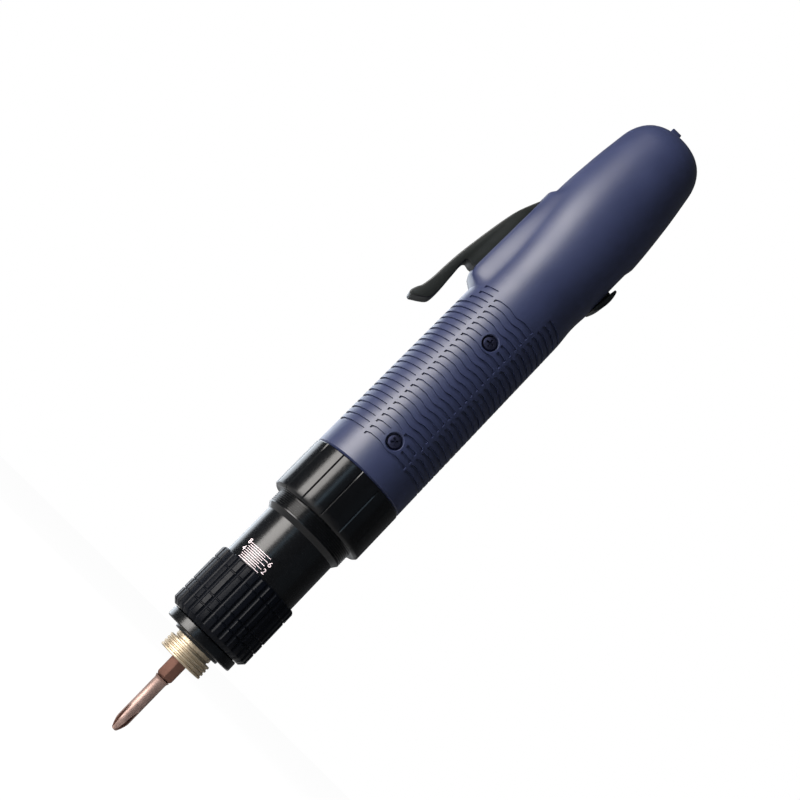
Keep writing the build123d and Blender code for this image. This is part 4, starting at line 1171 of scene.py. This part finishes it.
class DRIVER_OT_barrel(bpy.types.Operator):
    """Model the clutch barrel with both its threads."""

    bl_idname = "driver.barrel"
    bl_label = "Clutch barrel"

    def execute(self, context):
        nose = context.scene.driver_nose
        outline = list(BARREL_MOUTH)
        height = FRONT_THREAD[0]
        while height < FRONT_THREAD[1]:
            outline += [(radius, height + rise) for radius, rise in FRONT_THREAD_CREST]
            height += FRONT_THREAD_PITCH
        outline += BARREL_MIDDLE
        height, radius = REAR_THREAD[0], REAR_THREAD_RADIUS
        pitch, depth = nose.thread_pitch / MM, nose.thread_depth / MM
        while height < REAR_THREAD[1]:
            outline += [
                (radius, height), (radius - depth, height + pitch * 0.35), (radius - depth, height + pitch * 0.45),
                (radius, height + pitch * 0.8),
            ]
            height += pitch
        outline += BARREL_BORES
        piece = turned("barrel", outline, BARREL_COLUMNS)
        cut(piece, [
            put(block("lug_slot_%d" % index, *LUG_SLOT), about_axis(360 / LUG_COUNT * index))
            for index in range(LUG_COUNT)
        ])
        seat(piece, "driver", "black_metal", barrel_black, "clutch_barrel", angle=28)
        return {"FINISHED"}


class DRIVER_OT_ring(bpy.types.Operator):
    """Model the fluted torque adjusting ring."""

    bl_idname = "driver.ring"
    bl_label = "Torque adjusting ring"

    def execute(self, context):
        nose = context.scene.driver_nose
        flute, groove = nose.rib_depth / MM, nose.ring_groove / MM
        outline = list(RING_FRONT)
        floor = RING_RADIUS - groove
        for middle in RING_GROOVES:
            outline += [
                (RING_RADIUS, middle - RING_GROOVE_HALF), (floor, middle - RING_GROOVE_FLOOR_HALF),
                (floor, middle + RING_GROOVE_FLOOR_HALF), (RING_RADIUS, middle + RING_GROOVE_HALF),
            ]
        outline += RING_REAR
        piece = turned("adjusting_ring", outline, RING_FLUTES * RING_FLUTE_COLUMNS)
        edit(piece)

        def fluted(radius, phase):
            if radius < RING_FLUTED_FROM or phase >= len(RING_FLUTE_SHARES):
                return radius
            return radius - max(0.0, flute * RING_FLUTE_SHARES[phase] - (RING_RADIUS - radius))

        phase_scale(piece, RING_FLUTES, RING_FLUTE_COLUMNS, RING_FLUTE_START, fluted)
        done()
        seat(piece, "adjusting_ring", "black_metal", ring_black, "torque_adjusting_ring", angle=24)
        return {"FINISHED"}


class DRIVER_OT_nose(bpy.types.Operator):
    """Model the nose cap and the bit sleeve."""

    bl_idname = "driver.nose"
    bl_label = "Nose cap and bit sleeve"

    def execute(self, context):
        cap = turned("nose_ring", NOSE_CAP, 144)
        seat(cap, "driver", "black_metal", barrel_black, "nose_cap", angle=28)
        outline = list(SLEEVE_MOUTH)
        radius, rib, gap = SLEEVE_RIB_RADIUS, SLEEVE_RIB_WIDTH, SLEEVE_RIB_GAP
        for index in range(SLEEVE_RIBS):
            low = SLEEVE_FRONT + index * (rib + gap) + (0.0 if index else 0.05)
            outline += [
                (radius - 0.25, low), (radius, low + 0.2), (radius, low + rib - 0.2), (radius - 0.25, low + rib),
            ]
            if index < SLEEVE_RIBS - 1:
                outline += [(radius - 0.45, low + rib + 0.1), (radius - 0.45, low + rib + gap - 0.1)]
        sleeve = turned("sleeve", outline + list(SLEEVE_BORES), 96)
        seat(sleeve, "bit_sleeve", "nickel", sleeve_nickel, "bit_sleeve", angle=26)
        return {"FINISHED"}


class DRIVER_OT_bit(bpy.types.Operator):
    """Model the cross-point bit with its hexagon shank."""

    bl_idname = "driver.bit"
    bl_label = "Driver bit"

    def execute(self, context):
        shaft = turned("driver_bit", BIT_SHAFT, 48, solid=True)
        flutes = []
        for index in range(BIT_FLUTES):
            flute = slab("flute_%d" % index, BIT_FLUTE, BIT_FLUTE_HALF)
            round_edges(flute, 0.25 * MM, 2, 40)
            flutes.append(put(flute, about_axis(45 + 360 / BIT_FLUTES * index)))
        cut(shaft, flutes)
        corner, front, rear = HEXAGON_FLATS / math.sqrt(3), HEXAGON_FRONT, HEXAGON_REAR
        shank = turned("shank", (
            (0.02, front), (corner - 0.75, front), (corner - 0.25, front + 0.6), (corner, front + 1.0),
            (corner, rear - 0.5), (corner - 0.5, rear), (0.02, rear),
        ), 6, solid=True)
        round_edges(shank, 0.22 * MM, 2, 40)
        bit = joined([shaft, shank], "driver_bit")
        seat(bit, "spindle", "bit_steel", bit_steel, "bit", angle=30)
        return {"FINISHED"}


def scale_line(index):
    """One line of the scale, a strip of a circle around the barrel."""
    low, high = SCALE_SHORT_LINE if index % 2 else SCALE_LONG_LINE
    height = SCALE_FIRST_LINE + SCALE_PITCH * index - SCALE_LINE_WIDTH / 2
    line = first_ring("line_%d" % index, SCALE_LINE_COLUMNS, SCALE_RADIUS + PRINT_HEIGHT, height)
    bpy.ops.mesh.extrude_region_move(TRANSFORM_OT_translate={"value": (0, 0, SCALE_LINE_WIDTH * MM)})
    pick_faces(line, lambda centre, normal: not (
        centre.y < 0 and low < math.degrees(math.atan2(-centre.x, -centre.y)) < high))
    bpy.ops.mesh.delete(type="FACE")
    close_up()
    return apply_modifier(line, "SOLIDIFY", thickness=PRINT_THICKNESS * MM, offset=0.0)


def scale_figure(text, index, angle):
    """One figure of the scale, at the height of a line."""
    clear_selection()
    bpy.ops.object.text_add()
    figure = bpy.context.object
    figure.data.body = text
    figure.data.size = FIGURE_SIZE * MM
    figure.data.align_x = "CENTER"
    figure.data.align_y = "CENTER"
    figure.data.extrude = PRINT_THICKNESS / 2 * MM
    figure.data.resolution_u = 3
    bpy.ops.object.convert(target="MESH")
    theta = math.radians(angle)
    outward = Vector((-math.sin(theta), -math.cos(theta), 0))
    up = Vector((0, 0, 1))
    matrix = Matrix((up.cross(outward), up, outward)).transposed().to_4x4()
    matrix.translation = (
        outward * (SCALE_RADIUS + PRINT_HEIGHT) * MM + up * (SCALE_FIRST_LINE + SCALE_PITCH * index) * MM
    )
    figure = put(bpy.context.object, matrix)
    edit(figure)
    close_up(SAME_PRINT_POINT)
    return figure


class DRIVER_OT_scale(bpy.types.Operator):
    """Model the printed torque scale with its lines and figures."""

    bl_idname = "driver.scale"
    bl_label = "Torque scale"

    def execute(self, context):
        pieces = [scale_line(index) for index in range(SCALE_LINES)]
        pieces += [scale_figure(*figure) for figure in SCALE_FIGURES]
        seat(joined(pieces, "torque_scale"), "driver", "black_metal", white_marking)
        return {"FINISHED"}


# Lever and paddle

def smooth_line(points, steps=5):
    """More points on a soft curve through the given ones."""
    result = []
    for index in range(len(points) - 1):
        before = points[max(index - 1, 0)]
        low, high = points[index], points[index + 1]
        after = points[min(index + 2, len(points) - 1)]
        for step in range(steps):
            t = step / steps
            result.append(tuple(
                0.5 * (2 * l + (h - b) * t + (2 * b - 5 * l + 4 * h - a) * t * t + (3 * l - b - 3 * h + a) * t ** 3)
                for b, l, h, a in zip(before, low, high, after)
            ))
    result.append(points[-1])
    return result


class DRIVER_OT_lever(bpy.types.Operator):
    """Model the start lever."""

    bl_idname = "driver.lever"
    bl_label = "Start lever"

    def execute(self, context):
        rounding = context.scene.driver_controls.rounding
        x, z = LEVER_PIVOT
        hub = [
            (x + LEVER_HUB_RADIUS * math.sin(math.radians(a)), z + LEVER_HUB_RADIUS * math.cos(math.radians(a)))
            for a in LEVER_HUB_ANGLES
        ]
        outline = smooth_line(LEVER_OUTSIDE, 4) + hub + list(LEVER_INSIDE) + smooth_line(LEVER_FINGER_SIDE, 3)
        lever = slab("lever", outline, LEVER_HALF)
        cut(lever, [bar("pin_hole", LEVER_BORE, 20, (x, 0, z), (0, 1, 0), 32)])
        round_edges(lever, rounding, 3, 50)
        seat(lever, "start_lever", "black_plastic", black_nylon, "start_lever", angle=40)
        return {"FINISHED"}


class DRIVER_OT_paddle(bpy.types.Operator):
    """Model the reverse paddle."""

    bl_idname = "driver.paddle"
    bl_label = "Reverse paddle"

    def execute(self, context):
        half, crown = PADDLE_HALF_LENGTH, PADDLE_TOP - PADDLE_EDGE
        outline = [(PADDLE_UNDERSIDE, -half)]
        for step in range(-PADDLE_STEPS, PADDLE_STEPS + 1):
            share = step / PADDLE_STEPS
            outline.append((PADDLE_TOP - crown * share * share, half * share))
        outline.append((PADDLE_UNDERSIDE, half))
        plate = slab("paddle", outline, PADDLE_HALF_WIDTH)
        round_edges(plate, 0.45 * MM, 3, 40)
        across, along = PADDLE_NECK_HALF
        neck = block("neck", (PADDLE_NECK[0], -across, -along), (PADDLE_NECK[1], across, along))
        round_edges(neck, 0.3 * MM, 2, 40)
        x, z = PADDLE_PIVOT
        hub = bar("hub", PADDLE_HUB_RADIUS, PADDLE_HUB_WIDTH, (x, 0, 0), (0, 1, 0), 32)
        pins = bar("pins", PADDLE_PIN_RADIUS, PADDLE_PIN_LENGTH, (x, 0, 0), (0, 1, 0), 32)
        paddle = joined([plate, neck, hub, pins], "paddle")
        tilt = Matrix.Rotation(math.radians(PADDLE_TILT), 4, "Y")
        put(paddle, Matrix.Translation((x * MM, 0, z * MM)) @ tilt @ Matrix.Translation((-x * MM, 0, 0)))
        seat(paddle, "reverse_paddle", "black_plastic", black_nylon, "reverse_paddle", angle=35)
        return {"FINISHED"}


class DRIVER_OT_eye(bpy.types.Operator):
    """Model the hanger eye at the rear end."""

    bl_idname = "driver.eye"
    bl_label = "Hanger eye"

    def execute(self, context):
        low, high = EYE_X
        eye = block("hanger", (low, -EYE_HALF, EYE_FOOT), (high, EYE_HALF, EYE_TOP))
        edit(eye, "EDGE")
        pick_edges(eye, lambda middle: (
            middle.z > (EYE_TOP - 0.1) * MM and abs(abs(middle.y) - EYE_HALF * MM) < 0.1 * MM))
        bpy.ops.mesh.bevel(offset=EYE_CORNER * MM, segments=8, affect="EDGES")
        done()
        cut(eye, [bar("eye_bore", EYE_BORE_RADIUS, 20, ((low + high) / 2, 0, EYE_BORE_HEIGHT), (1, 0, 0), 48)])
        round_edges(eye, 0.5 * MM, 3, 40)
        foot = block("foot", (low, -EYE_FOOT_HALF, EYE_FOOT), (high, EYE_FOOT_HALF, EYE_FOOT_TOP))
        joined([eye, foot], "hanger")
        seat(eye, "driver", "casing_plastic", casing_plastic, "hanger_eye", angle=35)
        return {"FINISHED"}


class DRIVER_OT_finishes(bpy.types.Operator):
    """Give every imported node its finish."""

    bl_idname = "driver.finishes"
    bl_label = "Finishes of the packed parts"

    def execute(self, context):
        makers = {node: maker for maker, nodes in NODE_FINISHES.items() for node in nodes}
        for node, item in NODES.items():
            item.data.materials.clear()
            item.data.materials.append(finish(makers.get(node, machined_steel)))
        return {"FINISHED"}


# Stage

def soft_light(name, place, size, power, tint):
    """A rectangular soft light that points at the tool."""
    data = bpy.data.lights.new(name, "AREA")
    data.shape = "RECTANGLE"
    data.size, data.size_y = size
    data.energy = power
    data.color = tint
    light = bpy.data.objects.new(name, data)
    bpy.context.scene.collection.objects.link(light)
    light.location = place
    light.rotation_euler = (Vector(LIGHT_AIM) - Vector(place)).to_track_quat("-Z", "Y").to_euler()


def light_room(strength):
    """An even dim light all round, and white where the camera sees past the floor."""
    world = bpy.data.worlds.new("room")
    world.use_nodes = True
    bpy.context.scene.world = world
    room = world.node_tree.nodes["Background"]
    room.inputs["Color"].default_value = (0.93, 0.96, 1.0, 1)
    room.inputs["Strength"].default_value = strength
    white = add_node(world, "ShaderNodeBackground", Color=(1, 1, 1, 1), Strength=1.0)
    seen = add_node(world, "ShaderNodeLightPath")
    mix = add_node(world, "ShaderNodeMixShader", [
        ("Fac", seen, "Is Camera Ray"), (1, room, "Background"), (2, white, "Background"),
    ])
    lead(world, mix, "Shader", "World Output", "Surface")


def pale_floor():
    """Matt pale paint that looks nearly white to the camera and still shows the tool's shadow."""
    material = material_with("pale_floor", (0.8, 0.8, 0.8, 1), 0.9)
    paint = material.node_tree.nodes["Principled BSDF"]
    glow = add_node(material, "ShaderNodeEmission", Strength=FLOOR_GLOW)
    path = add_node(material, "ShaderNodeLightPath")
    share = add_node(material, "ShaderNodeMath", [(0, path, "Is Camera Ray")], operation="MULTIPLY")
    share.inputs[1].default_value = FLOOR_GLOW_SHARE
    blend = add_node(material, "ShaderNodeMixShader", [
        ("Fac", share, "Value"), (1, paint, "BSDF"), (2, glow, "Emission"),
    ])
    lead(material, blend, "Shader", "Material Output", "Surface")
    return material


def lay_floor(drop):
    """The floor under the bit's point."""
    clear_selection()
    bpy.ops.mesh.primitive_plane_add(size=FLOOR_SIZE, location=(0, 0, CAD_BOX[0].z - drop))
    floor = named("floor")
    floor.data.materials.append(pale_floor())


def set_camera():
    """The camera, on the near side and a little below, rolled so that the bit points down to the left."""
    data = bpy.data.cameras.new("camera")
    data.sensor_width = 36.0
    data.lens = LENS
    data.clip_start, data.clip_end = 0.01, 20.0
    camera = bpy.data.objects.new("camera", data)
    bpy.context.scene.collection.objects.link(camera)
    tilt, roll = math.radians(CAMERA_TILT), math.radians(CAMERA_ROLL)
    ahead = Vector((0, math.cos(tilt), math.sin(tilt)))
    along = Vector((0, -math.sin(tilt), math.cos(tilt)))
    lever_side = Vector((-1, 0, 0))
    right = math.cos(roll) * along - math.sin(roll) * lever_side
    up = math.sin(roll) * along + math.cos(roll) * lever_side
    matrix = Matrix((right, up, -ahead)).transposed().to_4x4()
    matrix.translation = Vector(CAMERA_AIM) - ahead * CAMERA_DISTANCE
    camera.matrix_world = matrix
    bpy.context.scene.camera = camera


class DRIVER_OT_stage(bpy.types.Operator):
    """Set the pale floor, the soft light and the camera."""

    bl_idname = "driver.stage"
    bl_label = "Stage"

    def execute(self, context):
        settings = context.scene.driver_stage
        context.scene.view_settings.view_transform = "Standard"
        light_room(settings.sky)
        lay_floor(settings.floor_drop)
        soft_light("key", (-0.62, -0.40, 0.16), (0.45, 0.7), settings.key_power, (1.0, 0.965, 0.93))
        soft_light("strip", (-0.28, -0.62, 0.0), (0.05, 0.7), settings.fill_power * STRIP_FACTOR, (0.55, 0.8, 1.0))
        soft_light("fill", (0.55, -0.45, -0.05), (0.6, 0.8), settings.fill_power, (0.6, 0.8, 1.0))
        soft_light("rim", (-0.42, 0.62, 0.1), (0.5, 0.7), REAR_POWER, (0.85, 0.92, 1.0))
        set_camera()
        return {"FINISHED"}


OPERATORS = (
    DRIVER_OT_finishes, DRIVER_OT_casing, DRIVER_OT_screws, DRIVER_OT_collar, DRIVER_OT_barrel, DRIVER_OT_ring,
    DRIVER_OT_nose, DRIVER_OT_bit, DRIVER_OT_scale, DRIVER_OT_lever, DRIVER_OT_paddle, DRIVER_OT_eye,
    DRIVER_OT_stage,
)
SETTINGS = (
    ("driver_casing", CasingSettings), ("driver_nose", NoseSettings), ("driver_controls", ControlSettings),
    ("driver_stage", StageSettings),
)


class DRIVER_PT_panel(bpy.types.Panel):
    """Lists the pieces in the sidebar."""

    bl_idname = "DRIVER_PT_panel"
    bl_label = "Torque screwdriver"
    bl_space_type = "VIEW_3D"
    bl_region_type = "UI"
    bl_category = "Screwdriver"

    def draw(self, context):
        for operator in OPERATORS:
            self.layout.operator(operator.bl_idname)
        for name, group in SETTINGS:
            box = self.layout.box()
            for key in group.__annotations__:
                box.prop(getattr(context.scene, name), key)


def register():
    for name, group in SETTINGS:
        bpy.utils.register_class(group)
        setattr(bpy.types.Scene, name, bpy.props.PointerProperty(type=group))
    for item in (*OPERATORS, DRIVER_PT_panel):
        bpy.utils.register_class(item)


def unregister():
    for item in reversed((*OPERATORS, DRIVER_PT_panel)):
        bpy.utils.unregister_class(item)
    for name, group in reversed(SETTINGS):
        delattr(bpy.types.Scene, name)
        bpy.utils.unregister_class(group)


def main():
    register()
    for operator in OPERATORS:
        group, name = operator.bl_idname.split(".")
        getattr(getattr(bpy.ops, group), name)()
    clear_selection()


if __name__ == "__main__":
    main()
